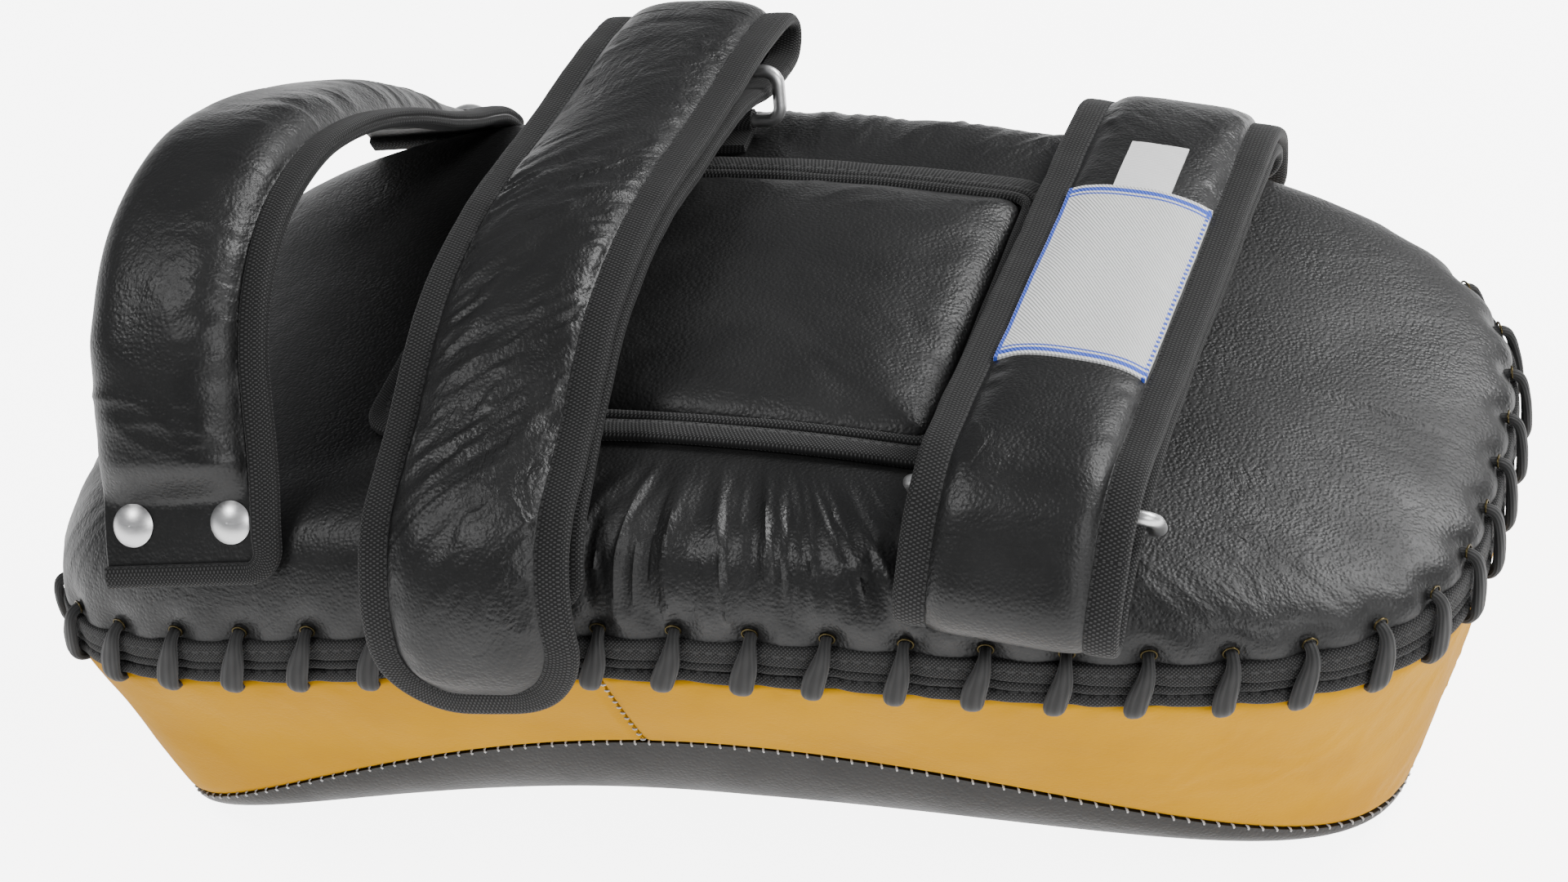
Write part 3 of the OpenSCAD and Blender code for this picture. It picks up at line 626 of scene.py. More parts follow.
# Wide soft hollows where the hide pulls over the shoulder
relief += waves(s / 42, round_in / 36, 12) * 0.65 * smoothstep(4, 25, round_in) * (
    1 - smoothstep(50, 95, round_in))
# Gathers that fan up from every lacing hole
gather = smoothstep(8.5, 0, to_hole)[None] * np.exp(-((round_in - 2.5) / 6.5) ** 2)
relief += 0.75 * (1 - gather * 2.4) * np.exp(-((round_in - 3) / 9) ** 2)
# Fine cross creases at the elbow end
elbow = smoothstep(95, 150, x) * smoothstep(20, 60, round_in)
relief += creases(x / 7, y / 22, 21) * 0.16 * elbow
relief *= 1 - smoothstep(95, 130, round_in) * 0.8
# Nothing rises into the cushion
under_cushion = ((np.abs(x - CUSHION_AT) < CUSHION_HALF_LEN + 5)
                 & (np.abs(y) < CUSHION_HALF_W + 3))
relief[under_cushion] = np.minimum(relief[under_cushion], 0)
outer = outer + grid_normals(outer) * relief[:, :, None]
inner = [back_ring(rho, BACK_T) for rho in (1.0, 0.97, 0.9, 0.7, 0.4, 0.05)]
rings = np.concatenate([outer[::-1], inner])
across = np.concatenate([round_in[::-1], np.zeros((len(inner), COLUMNS))])
flat = np.stack([np.broadcast_to(turn_len, across.shape), across], -1)
back_cover = skin("back_cover_leather", rings, black_leather, flat)
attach(back_cover, "pad")
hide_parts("back_cover")

# %% [markdown]
# ### Striking face
# A plain stuffed sheet under the pad. It ends at the floor.

# %% Striking face
FACE_COLUMNS = 480
face_t = np.arange(FACE_COLUMNS) * 2 * np.pi / FACE_COLUMNS
face_shares = np.concatenate([(1 - np.linspace(0, 0.9, 26) ** 2) ** (1 / FACE_POWER),
                              np.linspace(0.697, 0.02, 26)])


def face_ring(rho, sink=0.0):
    p = rho * (seam_xy(face_t, -sink) + (SEAM_SHIFT, 0)) - (SEAM_SHIFT, 0)
    drop = (bulge(p[:, 0]) - sink) * max(0, 1 - rho ** FACE_POWER) ** FACE_ROOT
    return raised(p, seam_z(p[:, 0]) - drop)


outside = np.array([face_ring(rho) for rho in face_shares[::-1]])
outside[:, :, 2] = np.maximum(outside[:, :, 2], -LIFT)
inside = [face_ring(rho, LEATHER_T) for rho in (1.0, 0.9, 0.5, 0.05)]
strike = skin("strike_face_leather", np.concatenate([outside, inside]), face_leather)
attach(strike, "pad")
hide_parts("strike_face")

# %% [markdown]
# ### Side band
# Two yellow panels between the rim and the face, sewn together on both long sides.

# %% Side band
SPLIT = math.radians(101)       # angle of the two upright seams
SEAM_GAP = 0.0034               # angle left open beside each


def side_out(t):
    """Outward direction of the side band"""
    return unit(np.stack([np.cos(t), 1.6 * np.sin(t), np.zeros_like(t)], -1))


def side_piece(name, start, end):
    t = np.linspace(start + SEAM_GAP, end - SEAM_GAP, 560)
    top, low = rim_xy(t), seam_xy(t)
    top, low = raised(top, rim_z(top[:, 0]) - 0.5), raised(low, seam_z(low[:, 0]) + 0.4)
    share = np.concatenate([[0], np.linspace(0.02, 0.98, 38), [1]])
    outside = top[:, None] + (low - top)[:, None] * share[None, :, None]
    down = np.linalg.norm(top - low, axis=1)[:, None] * share[None]
    run = lengths(top)
    long = np.broadcast_to(run[:, None], down.shape)
    # Soft swell, a rounded turn at each sewn edge and a few shallow pulls
    belly = 4 * share * (1 - share)
    swell = (1.5 * belly ** 0.6 - 0.9 * smoothstep(0.03, 0, share)
             - 1.1 * smoothstep(0.965, 1, share))
    rumple = waves(long / 30, down / 26, 31) * 0.45 + creases(long / 9, down / 30, 33) * 0.10
    rumple += creases(long / 8, down / 13, 36) * 0.34 * smoothstep(110, 160, top[:, 0])[:, None]
    near_hole = (np.exp(-(((long + 4) % PITCH - PITCH / 2) / 3.5) ** 2)
                 * np.exp(-((down - 2) / 4) ** 2))
    ends = smoothstep(-0.5, 3, long) * smoothstep(-0.5, 3, run[-1] - long)
    amount = (swell + rumple * belly ** 0.5) * (0.25 + 0.75 * ends) - 0.6 * (1 - ends)
    out = side_out(t)[:, None]
    outside = outside + out * (amount - near_hole * 0.6)[:, :, None]
    piece = skin(name + "_leather", there_and_back(outside, outside - out * LEATHER_T),
                 yellow_leather, laid_flat(run, np.concatenate([down, -down], 1)))
    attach(piece, "pad")
    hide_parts(name)


side_piece("side_band_grip_end", SPLIT, 2 * math.pi - SPLIT)
side_piece("side_band_elbow_end", -SPLIT, SPLIT)
print("body ready")

# %% [markdown]
# ## Sewing on the body
# Short whip stitches show along the face seam and the two upright seams.

# %% Whip stitches
STITCH = 3.8            # pitch along the face seam


def rod(route, radius, sides=6):
    """Rings round a short thread, rounded off at both ends"""
    route = np.asarray(route, float)
    along = unit(np.gradient(route, axis=0))
    side = unit(np.cross(along, (0.31, 0.17, 0.93)))
    other = np.cross(along, side)
    turn = np.arange(sides) * 2 * np.pi / sides
    size = np.full(len(route), radius)
    size[0] = size[-1] = radius * 0.35
    return route[:, None] + size[:, None, None] * (
        np.cos(turn)[None, :, None] * side[:, None] + np.sin(turn)[None, :, None] * other[:, None])


def rods(name, groups, material):
    """Many short closed tubes as one piece"""
    points, faces, flats = [], [], []
    for rings in groups:
        rows, n = rings.shape[:2]
        start = len(points)
        points += rings.reshape(-1, 3).tolist()
        flats += [(length, j * 6.0 / n) for length in lengths(rings[:, 0]) for j in range(n)]
        for i in range(rows - 1):
            a, b = start + i * n, start + (i + 1) * n
            faces += [[a + j, a + (j + 1) % n, b + (j + 1) % n, b + j] for j in range(n)]
        faces.append([start + v for v in range(n - 1, -1, -1)])
        faces.append([start + (rows - 1) * n + v for v in range(n)])
    return make_piece(name, points, faces, flats, material, 60)


dense = np.linspace(0, 2 * np.pi, 3601)
seam_run = lengths(seam_xy(dense))
stitches = []
for length in np.arange(0, seam_run[-1], STITCH):
    t = np.interp(length, seam_run, dense)
    p, ahead = seam_xy(t), seam_xy(t + 0.008)
    out, lean, z = side_out(t)[:2], (ahead - p) * 0.55, seam_z(p[0])
    # How far out, how far along and how high each bend of the thread lies
    bends = ((-0.7, -0.2, 0.75), (0.12, -0.1, 0.55), (0.3, 0, 0.05), (0.1, 0.1, -0.45),
             (-0.7, 0.2, -0.7))
    stitches.append(rod([[*(p + out * a + lean * b), z + c] for a, b, c in bends], 0.30))
for angle in (SPLIT, -SPLIT):
    a, b = rim_xy(angle), seam_xy(angle)
    a, b = raised(a, rim_z(a[0])), raised(b, seam_z(b[0]))
    tangent = raised(unit(rim_xy(angle + 0.01) - rim_xy(angle - 0.01)), 0.0)
    for share in np.arange(0.09, 0.97, 0.085):
        bow = 0.3 * (4 * share * (1 - share)) ** 0.6
        bends = ((-0.75, -0.7), (-0.5, -0.05), (0, 0.2), (0.5, -0.05), (0.75, -0.7))
        stitches.append(rod([a + (b - a) * share + tangent * offset + side_out(angle) * (high + bow)
                             for offset, high in bends], 0.28))
seams = rods("whip_stitches", stitches, thread)
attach(seams, "pad")

# %% [markdown]
# ## Laced rim
# Three bound edges lie one on another and a flat braided lace wraps them all.

# %% Bound edges
EDGE_DEEP = 4.4         # how far a bound edge reaches in from the rim


def rim_frame(length):
    """Point of the rim's lower edge and its outward direction, at lengths along the rim"""
    p = rim_xy(rim_turn(length))
    ahead = rim_xy(rim_turn(length + 0.5)) - rim_xy(rim_turn(length - 0.5))
    return raised(p, rim_z(p[..., 0])), unit(np.stack([ahead[..., 1], -ahead[..., 0]], -1))


def edge_section(low, high, proud):
    """Rounded tape folded over an edge: out from the rim, and up"""
    r = min(0.9, (high - low) * 0.3)
    a = np.linspace(0, np.pi / 2, 5)
    lower = np.column_stack([proud - r + r * np.sin(a), low + r - r * np.cos(a)])
    upper = np.column_stack([proud - r + r * np.cos(a), high - r + r * np.sin(a)])
    middle = np.column_stack([np.full(4, proud + 0.1), np.linspace(low + r, high - r, 6)[1:-1]])
    return np.concatenate([[[-EDGE_DEEP, low]], lower, middle, upper, [[-EDGE_DEEP, high]]])


def bound_edge(name, low, high, proud, wander, seed):
    """A taped edge round the rim, wandering a little and squeezed by each turn of the lace"""
    count = 1100
    length = np.arange(count) * RIM_TOTAL / count
    base, out = rim_frame(length)
    section = edge_section(low, high, proud)
    away, up = section[None, :, 0], section[None, :, 1]
    from_turn = (length - hole_len[0] + PITCH / 2) % PITCH - PITCH / 2
    squeeze = np.exp(-(from_turn / 3.2) ** 2)[:, None]
    drift = waves(length / 9, length * 0, seed)[:, None] * wander
    sway = waves(length / 7, length * 0, seed + 1)[:, None] * wander * 0.6
    up = up + drift - (up - (low + high) / 2) * 0.10 * squeeze
    away = away + (sway - 0.5 * squeeze) * (away > 0)
    rings = np.concatenate([base[:, None, :2] + out[:, None] * away[..., None],
                            base[:, None, 2:] + up[..., None]], -1)
    piece = skin(name + "_tape", rings, rim_weave,
                 laid_flat(length, lengths(section) - EDGE_DEEP), hoop=True)
    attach(piece, "pad")
    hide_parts(name)


bound_edge("rim_binding_top", 6.7, 13.0, 1.45, 0.10, 41)
bound_edge("rim_binding_middle", 3.7, 6.9, 1.0, 0.18, 43)
bound_edge("rim_binding_low", 0.1, 3.9, 1.3, 0.35, 45)

# %% [markdown]
# ### Lace
# Each turn comes out of its hole over the band, down its face and back under it.

# %% Lace
# Distance out, height, half width along the rim, half thickness
LACE = [[-3.6, 15.0, 1.4, 1.0], [-1.4, 15.2, 1.45, 1.1], [0.6, 14.9, 1.5, 1.2],
        [2.0, 13.8, 1.7, 1.25], [2.75, 11.8, 2.1, 1.3], [3.05, 9.4, 2.55, 1.35],
        [3.2, 6.8, 2.9, 1.45], [3.15, 4.0, 3.0, 1.5], [2.9, 1.2, 2.95, 1.5],
        [2.0, -0.5, 2.6, 1.4], [0.6, -1.5, 2.2, 1.3], [-1.2, -1.8, 1.9, 1.2],
        [-3.8, -1.7, 1.8, 1.1]]
LACE_LEAN = -4.4        # how far a turn drifts along the rim on its way down


def spline(points, steps):
    """Smooth curve through points of any size"""
    points = np.asarray(points, float)
    padded = np.concatenate([points[:1], points, points[-1:]])
    t = np.arange(steps)[:, None] / steps
    out = [0.5 * (2 * b + (c - a) * t + (2 * a - 5 * b + 4 * c - d) * t ** 2
                  + (3 * b - a - 3 * c + d) * t ** 3)
           for a, b, c, d in zip(padded, padded[1:], padded[2:], padded[3:])]
    return np.concatenate(out + [points[-1:]])


away, height, half, thin = spline(LACE, 3).T[:, :, None]
a = np.arange(14) * 2 * np.pi / 14
side = np.sign(np.cos(a)) * np.abs(np.cos(a)) ** 0.8
turns = []
for hole in hole_len:
    lean = LACE_LEAN + rng.uniform(-0.7, 0.7)
    start = hole + rng.uniform(-0.5, 0.5)
    fall = smoothstep(15.5, -2.5, height[:, 0])
    base, out = rim_frame(start + lean * fall + 0.5 * np.sin(fall * np.pi) * rng.uniform(-1, 1))
    middle = np.concatenate([base[:, :2] + out * away, base[:, 2:] + height], -1)
    along = unit(np.gradient(middle, axis=0))
    wide = np.column_stack([-out[:, 1], out[:, 0], out[:, 0] * 0])
    wide = unit(wide - along * (wide * along).sum(1)[:, None])
    size = rng.uniform(0.93, 1.07)
    turns.append(middle[:, None] + wide[:, None] * (side * half * size)[..., None]
                 + np.cross(along, wide)[:, None] * (np.sin(a) * thin)[..., None])
lace = rods("rim_lace_braid", turns, braided)
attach(lace, "pad")
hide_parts("rim_lace")

# %% [markdown]
# ### Eyelets
# Small brass rings in the punched holes, their colour painted dark as painted shade for the holes.

# %% Eyelets
EYE_HALF_WIDE, EYE_HALF_HIGH, EYE_WIRE = 1.95, 1.5, 0.27
eyes = []
for hole in hole_len:
    base, out = rim_frame(np.array([hole]))
    out = raised(out[0], 0.0)
    centre = base[0] - out * 0.15 + (0, 0, 15.5)
    a = np.arange(17) * 2 * np.pi / 16
    b = np.arange(6) * 2 * np.pi / 6
    spoke = (np.cos(a)[:, None] * np.array([-out[1], out[0], 0]) * EYE_HALF_WIDE
             + np.sin(a)[:, None] * np.array([0, 0, EYE_HALF_HIGH]))
    eyes.append(centre + spoke[:, None] + EYE_WIRE * (
        np.cos(b)[:, None] * unit(spoke)[:, None] + np.sin(b)[:, None] * out))
eyelets = rods("lace_eyelets", eyes, brass)
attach(eyelets, "pad")
print("rim ready")

# %% [markdown]
# ## Forearm cushion
# A stuffed panel, a flat binding round it and a thin cord between the two.

# %% Cushion
def rounded_box(hx, hy, r, count):
    """Points evenly round a rectangle with round corners"""
    a = np.linspace(0, np.pi / 2, 13)
    loop = []
    for sx, sy, start in ((1, 1, 0), (-1, 1, 90), (-1, -1, 180), (1, -1, 270)):
        b = a + math.radians(start)
        loop.append(np.column_stack([sx * (hx - r) + r * np.cos(b), sy * (hy - r) + r * np.sin(b)]))
    loop = np.concatenate(loop + [loop[0][:1]])
    length = lengths(loop)
    at = np.arange(count) * length[-1] / count
    return np.column_stack([np.interp(at, length, loop[:, k]) for k in (0, 1)])


def cushion_ring(inset, raise_by, count):
    loop = rounded_box(CUSHION_HALF_LEN - inset, CUSHION_HALF_W - inset,
                       max(3, CUSHION_CORNER - inset), count) + (CUSHION_AT, 0)
    return raised(loop, back_z(*loop.T) + raise_by)


# Inset from the cushion's edge and height over the back, from under it, round its side, to its top
PAD_ROWS = [(56, 0.3), (36, 0.3), (20, 0.3), (12.5, 0.3), (10.6, 0.4), (10.4, 1.8), (12, 3.6),
            (15, 5.2), (19, 6.4), (24, 7.0), (29, 7.3), (34, 7.5), (40, 7.6), (46, 7.6), (52, 7.6),
            (58, 7.6)]
PAD_COLUMNS = 120
cushion = skin("cushion_panel", [cushion_ring(inset, h, PAD_COLUMNS) for inset, h in PAD_ROWS],
               black_leather)
held = np.repeat([1 if h < 2 else 0.35 if h < 4 else 0 for _, h in PAD_ROWS], PAD_COLUMNS)
stuff(cushion, held, 5.0, 3.0)
subdivide(cushion, 1)
x, y, _ = (coordinates(cushion) / MM).T
inset = np.minimum(CUSHION_HALF_LEN - np.abs(x - CUSHION_AT), CUSHION_HALF_W - np.abs(y))
side = smoothstep(10, 14, inset) * (1 - smoothstep(20, 34, inset))
push(cushion, (creases(x / 9, y / 9, 51) * 0.28 + waves(x / 16, y / 16, 52) * 0.35) * side)
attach(cushion, "pad")
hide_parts("cushion_cover", "cushion_foam")


def cushion_trim(name, section):
    """A woven hoop round the cushion; its section is given as insets and heights"""
    rings = np.stack([cushion_ring(inset, h, 520) for inset, h in section], 1)
    run = lengths(rings[:, 0])
    rings[..., 2] += (waves(run / 12, run * 0, 61) * 0.15)[:, None]
    piece = skin(name + "_trim", rings, cushion_weave_painted_lighter,
                 laid_flat(run, [inset for inset, _ in section]), hoop=True)
    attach(piece, "pad")
    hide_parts(name)


# Painted light: this tape is made lighter than the other tapes, to lift it out of the shade it lies
# in round the cushion.
cushion_weave_painted_lighter = tape("cushion binding tape", ((5.2, 3.2, 0.25),), 0.025)
cushion_trim("cushion_binding", [(0.3, 0.3), (0, 0.9), (0.05, 1.9), (0.5, 2.6), (1.4, 2.95),
                                 (3.5, 3.1), (5.8, 3.0), (6.7, 2.6), (7.1, 1.9), (7.1, 0.3)])
cushion_trim("cushion_piping", [(8.8 - 1.6 * math.cos(a), 2.0 + 1.6 * math.sin(a))
                                for a in np.arange(10) * math.pi / 5])
print("cushion ready")

# %% [markdown]
# ## Straps
# A strap is one long route: sewn end, up and over the arm, through the ring, back
# down as the padded flap. `Strip` bends flat shapes onto such a route.

# %% Routes
class Strip:
    """Flat cloth bent onto a route: s along it, x across it, h out of its outer face, in mm"""

    FINE = 12       # steps between two points of the route

    def __init__(self, points, place, pivot, tilt, mirror=1, face=1):
        dense = spline(points, self.FINE)
        self.length = lengths(dense)
        slope = np.gradient(dense, self.length, axis=0)
        for _ in range(3):
            slope[1:-1] = (slope[:-2] + 2 * slope[1:-1] + slope[2:]) / 4
        slope = unit(slope)
        self.dense, self.out = dense, np.column_stack([slope[:, 1], -slope[:, 0]]) * face
        self.place, self.pivot, self.tilt, self.mirror = place, pivot, math.radians(tilt), mirror

    def knot(self, index):
        """Length along the route at one of the points it was made from"""
        return self.length[self.FINE * index]

    def centre(self, s):
        return [np.interp(s, self.length, self.dense[:, k]) for k in (0, 1)]

    def __call__(self, s, x, h):
        s, x, h = np.broadcast_arrays(*(np.asarray(a, float) for a in (s, x, h)))
        w, z = self.centre(s)
        w = w + h * np.interp(s, self.length, self.out[:, 0])
        z = z + h * np.interp(s, self.length, self.out[:, 1]) - self.pivot
        cos, sin = math.cos(self.tilt), math.sin(self.tilt)
        return np.stack([self.place + x * cos + z * sin, w * self.mirror,
                         self.pivot - x * sin + z * cos], -1)


# Routes as distance across the pad and height over the rim, in three stretches each
BASE_1 = [[-108.4, 18], [-107.3, 25], [-104.3, 32.6], [-98.3, 38.4], [-90, 42.8], [-78, 48.5],
          [-62, 56], [-45, 61.5], [-25, 65], [-3, 65.3], [18, 62.8], [42, 60], [62, 57], [74, 53.6],
          [84, 49.6], [95, 46.8]]
FOLD_1 = [[104, 45.2], [111, 45], [116, 47.6], [117.4, 51.6], [114, 55.4], [107, 57.4]]
FLAP_1 = [[98, 59], [86, 60.8], [63, 62.8], [42, 65], [18, 68], [-5, 70.3], [-30, 69.8],
          [-48, 66.8], [-64, 61], [-78, 54.2], [-90, 49.8], [-104, 44.6], [-113.5, 36.5],
          [-118.6, 25], [-119.6, 12], [-118.6, 1], [-118, -6]]
BASE_2 = [[-108, 15], [-107.1, 21], [-104.5, 29], [-97.4, 33.6], [-88, 35.4], [-75, 36.8],
          [-50, 38.9], [-25, 40.9], [0, 43.2], [25, 45.6], [48, 47], [64, 46.2], [76, 43],
          [86, 39], [94, 35.4]]
FOLD_2 = [[99.6, 31], [103.4, 25.8], [107.4, 22.6], [111.2, 25], [112, 31], [109.4, 38],
          [104.6, 45.6]]
FLAP_2 = [[98.6, 52.4], [87, 56.6], [70, 55.6], [50, 53.4], [25, 50.7], [0, 48.2], [-20, 46.2],
          [-47, 44], [-79, 41.4], [-96, 38.6], [-107, 33.2], [-115, 25.4], [-118.8, 15],
          [-119.6, 6], [-118.8, -3], [-118.2, -9]]
HALF_STRAP, TAPE_W, HALF_T, TAPE_T = 27.5, 8.5, 1.25, 0.6
BASE_CORNER, FLAP_CORNER = 12, 22


def end_width(q, length, half, r, inset):
    """Half width at q along a strip whose far end is rounded off"""
    into = np.clip(q - (length - r), 0, r - inset)
    return half - r + np.sqrt(np.maximum((r - inset) ** 2 - into ** 2, 0))


def edge_distance(q, x, length, half, r):
    """Distance inside the outline of a strip with a rounded far end"""
    a, b = q - (length - r), np.abs(x) - (half - r)
    corner = r - np.hypot(np.maximum(a, 0), np.maximum(b, 0))
    return np.where((a > 0) & (b > 0), corner, np.minimum(half - np.abs(x), length - q))


def edge_path(length, half, r, step=1.3):
    """Outline of a strip with a rounded far end: position along and across, inward direction"""
    straight = np.arange(0, length - r, step)
    a = np.linspace(0, np.pi / 2, 18)
    corner = np.column_stack([length - r + r * np.sin(a), -half + r - r * np.cos(a)])
    first = np.concatenate([np.column_stack([straight, straight * 0 - half]), corner])
    path = np.concatenate([first, [[length, 0]], first[::-1] * (1, -1)])
    slope = unit(np.gradient(path, axis=0))
    return path, np.column_stack([-slope[:, 1], slope[:, 0]])


def tape_section(width, half_t=HALF_T + TAPE_T, groove=0.0):
    """Tape folded over an edge: distance in from the edge, height, and place across the tape"""
    a = np.linspace(0, np.pi, 9 if groove == 0 else 17)
    dip = groove * np.exp(-((a - np.pi / 2) / 0.28) ** 2)
    bend = np.column_stack([half_t - half_t * np.sin(a) + dip, half_t * np.cos(a)])
    top = np.array([[width, half_t - 0.75], [width - 0.05, half_t - 0.25], [width - 0.4, half_t],
                    [width * 0.6, half_t + 0.12], [half_t + 0.4, half_t + 0.05]])
    section = np.concatenate([top, bend, top[::-1] * (1, -1)])
    across = np.concatenate([np.linspace(width, half_t, 5), bend[:, 0] * np.sign(bend[:, 1] + 1e-6),
                             -np.linspace(half_t, width, 5)])
    return section[:, 0], section[:, 1], across


def edge_tape(strip, name, s_open, way, length, r, seed):
    """Binding round the edge of a strip, from its open end round its rounded end and back"""
    path, inward = edge_path(length, HALF_STRAP, r)
    reach_in, high, across = tape_section(TAPE_W)
    run = lengths(path)
    wobble = waves(run / 11, run * 0, seed)[:, None] * 0.16
    lift = waves(run / 8, run * 0 + 3, seed)[:, None] * 0.12
    q = path[:, :1] + inward[:, :1] * (reach_in + wobble)
    x = path[:, 1:] + inward[:, 1:] * (reach_in + wobble)
    rings = strip(s_open + way * np.maximum(q, 0), x, high + lift)
    return skin(name, rings, strap_weave, laid_flat(run, across))


def side_tapes(strip, name, s_from, s_to, seed):
    """Binding on both long edges of a stretch that is open at both ends"""
    made = []
    reach_in, high, across = tape_section(TAPE_W)
    s = np.linspace(s_from, s_to, max(12, int((s_to - s_from) / 0.9)))
    for k in (-1, 1):
        wobble = waves(s / 11, s * 0 + k, seed)[:, None] * 0.16
        rings = strip(s[:, None], k * (HALF_STRAP - reach_in + wobble), high)
        made.append(skin(name, rings, strap_weave, laid_flat(s, across)))
    return join(name, made)


def sheet(strip, name, s, x, low, high, material, start=0.0, smooth=50):
    """A closed sheet on a strip, between two heights; start is where its flat cloth begins"""
    s = s[:, None]
    x = np.broadcast_to(x, (len(s), np.shape(x)[-1]))
    rings = there_and_back(strip(s, x, high), strip(s, x, low))
    return skin(name, rings, material, laid_flat(s[:, 0] - start, there_and_back(x, x)),
                smooth=smooth)


# %% [markdown]
# ### Base, fold and flap
# Each strap has a flat base, a fold through its ring and a padded flap.

# %% The two straps
# place and tilt set the strap on the pad, tilt in degrees about the height pivot. tip is the
# height where the flap ends, fold_from the height where the fold starts to bend. crown is the
# height of the padding, shoulder the width of its rounded side, hard how creased it is.
STRAPS = {
    1: dict(route=(BASE_1, FOLD_1, FLAP_1), place=-48.7, pivot=45, tilt=-3.5, mirror=1, tip=-5,
            crown=4.5, shoulder=16, hard=1.0, fold_from=51.5),
    2: dict(route=(BASE_2, FOLD_2, FLAP_2), place=87.8, pivot=40, tilt=7.5, mirror=-1, tip=-8,
            crown=3.7, shoulder=9, hard=0.14, fold_from=35.0),
}


def inside_tape(q, x, length):
    return edge_distance(q, x, length, HALF_STRAP, FLAP_CORNER) - TAPE_W


def crown_height(strap, q, x):
    """Height of the padding over the flap's leather, q along it from the fold"""
    e = inside_tape(q, x, strap["length"]) + 0.1
    share = np.clip(e / strap["shoulder"], 0, 1)
    rise = (1 - (1 - share) ** 2.6) ** 0.62
    full = smoothstep(-strap["turn"] * 0.85, -strap["turn"] * 0.25, q)
    return strap["crown"] * rise * full * (e > 0)


for k, strap in STRAPS.items():
    base, fold, flap = strap["route"]
    strip = Strip(base + fold + flap, strap["place"], strap["pivot"], strap["tilt"],
                  strap["mirror"])
    s_fold, s_flap = strip.knot(len(base)), strip.knot(len(base) + len(fold) - 1)
    last = slice(None, -201, -1)    # the tip's stretch of the route, from its end
    length = np.interp(strap["tip"], strip.dense[last, 1], strip.length[last]) - s_flap
    strap.update(strip=strip, length=length, s_flap=s_flap, turn=s_flap - s_fold)
    flap_body = f"flap_{k}_body"
    # Base layer with its sewn end and tape
    s = np.arange(0.6, s_fold, 2.0)
    width = end_width(s_fold - s, s_fold, HALF_STRAP, BASE_CORNER, 0.6)
    panel = sheet(strip, f"strap_{k}_base_leather", s, width[:, None] * np.linspace(-1, 1, 9),
                  -HALF_T, HALF_T, strap_leather)
    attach(panel, "pad")
    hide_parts(f"strap_{k}_base")
    edging = edge_tape(strip, f"strap_{k}_base_edging", s_fold, -1, s_fold, BASE_CORNER, 70 + k)
    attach(edging, "pad")
    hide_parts(f"strap_{k}_base_tape")
    # The fold through the ring, with the tape on its edges
    s_last = s_flap + 0.4
    s, x = np.linspace(s_fold, s_last, 60), np.linspace(-26.9, 26.9, 61)
    turn = sheet(strip, f"strap_{k}_fold_leather", s, x, -HALF_T,
                 HALF_T + crown_height(strap, s[:, None] - s_flap, x), strap_leather,
                 start=s_flap)
    trim = side_tapes(strip, f"strap_{k}_fold_edging", s_fold, s_last, 75 + k)
    at_x, at_y, _ = strip(s_flap, 0, 0)
    start = Vector((at_x, at_y, strap["fold_from"] + LIFT)) * MM
    end = Vector((at_x, at_y, float(strip.centre(s_flap)[1]) + LIFT)) * MM
    for piece in (turn, trim):
        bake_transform(piece)
    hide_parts(f"strap_{k}_fold")
    # Padded flap, blown up a little by the stuffing
    q = np.concatenate([[0, 0.2, 0.7, 1.8], np.arange(3.5, length - FLAP_CORNER, 3.5),
                        length - FLAP_CORNER + 21.4 * np.sin(np.linspace(0.02, np.pi / 2, 9))])
    c = np.array([0.09, 0.26, 0.42, 0.55, 0.64, 0.69, 0.72, 0.9, 1])
    x = end_width(q, length, HALF_STRAP, FLAP_CORNER, 0.6)[:, None] * np.concatenate([-c[::-1], c])
    grown = crown_height(strap, q[:, None], x)
    panel = sheet(strip, f"strap_{k}_flap_leather", s_flap + q, x, -HALF_T, HALF_T + grown,
                  strap_leather, start=s_flap)
    held = np.maximum((grown < 0.4) * 1.0, smoothstep(14, 5, q)[:, None])
    spot, amount = fill(panel, grown, held, 5.0, 1.2)
    u, v = spot.T
    over = crown_height(strap, u, v) / strap["crown"] * smoothstep(2, 16, u)
    a, b = (u + v * 0.9) / 5.0, (u * 0.25 - v) / 17
    place = 0.12 + 0.88 * smoothstep(70, 120, u) * (1 - smoothstep(length - 60, length - 25, u))
    rumple = (creases(a, b, 81 + k) * 0.55 + creases(a * 1.9, b * 1.7, 85 + k) * 0.34
              + waves(a / 2.4, b / 2, 83 + k) * 0.5)
    edge = np.exp(-((inside_tape(u, v, length) - 2.5) / 2.2) ** 2)
    gathers = waves(u / 4.2, v * 0 + np.sign(v), 88 + k) * 0.35 * edge
    soft = waves(u / 26, v / 22, 90 + k) * 0.5
    push(panel, amount * smoothstep(0.05, 0.6, over) * (
        rumple * place * strap["hard"] + gathers + soft))
    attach(panel, flap_body)
    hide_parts(f"strap_{k}_flap", f"strap_{k}_flap_foam")
    strap["panel"] = panel
    edging = edge_tape(strip, f"strap_{k}_flap_edging", s_flap, 1, length, FLAP_CORNER, 93 + k)
    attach(edging, flap_body)
    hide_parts(f"strap_{k}_flap_tape")
print("straps ready")

# %% [markdown]
# ### Label and tag
# Both lie on the finished flap of strap 2, so they follow its stuffed face.

# %% Woven label and size tag
strap = STRAPS[2]
strip = strap["strip"]


def s_where(w):
    """Place along the flap where it is w from the pad's middle"""
    s = np.linspace(strap["s_flap"] + 8, strap["s_flap"] + strap["length"] - 40, 800)
    return float(s[np.argmin(np.abs(strip.centre(s)[0] - w))])


def neighbours(grid):
    """Sum of the four neighbours of each value of a grid"""
    wide = np.pad(grid, 1, mode="edge")
    return wide[:-2, 1:-1] + wide[2:, 1:-1] + wide[1:-1, :-2] + wide[1:-1, 2:]


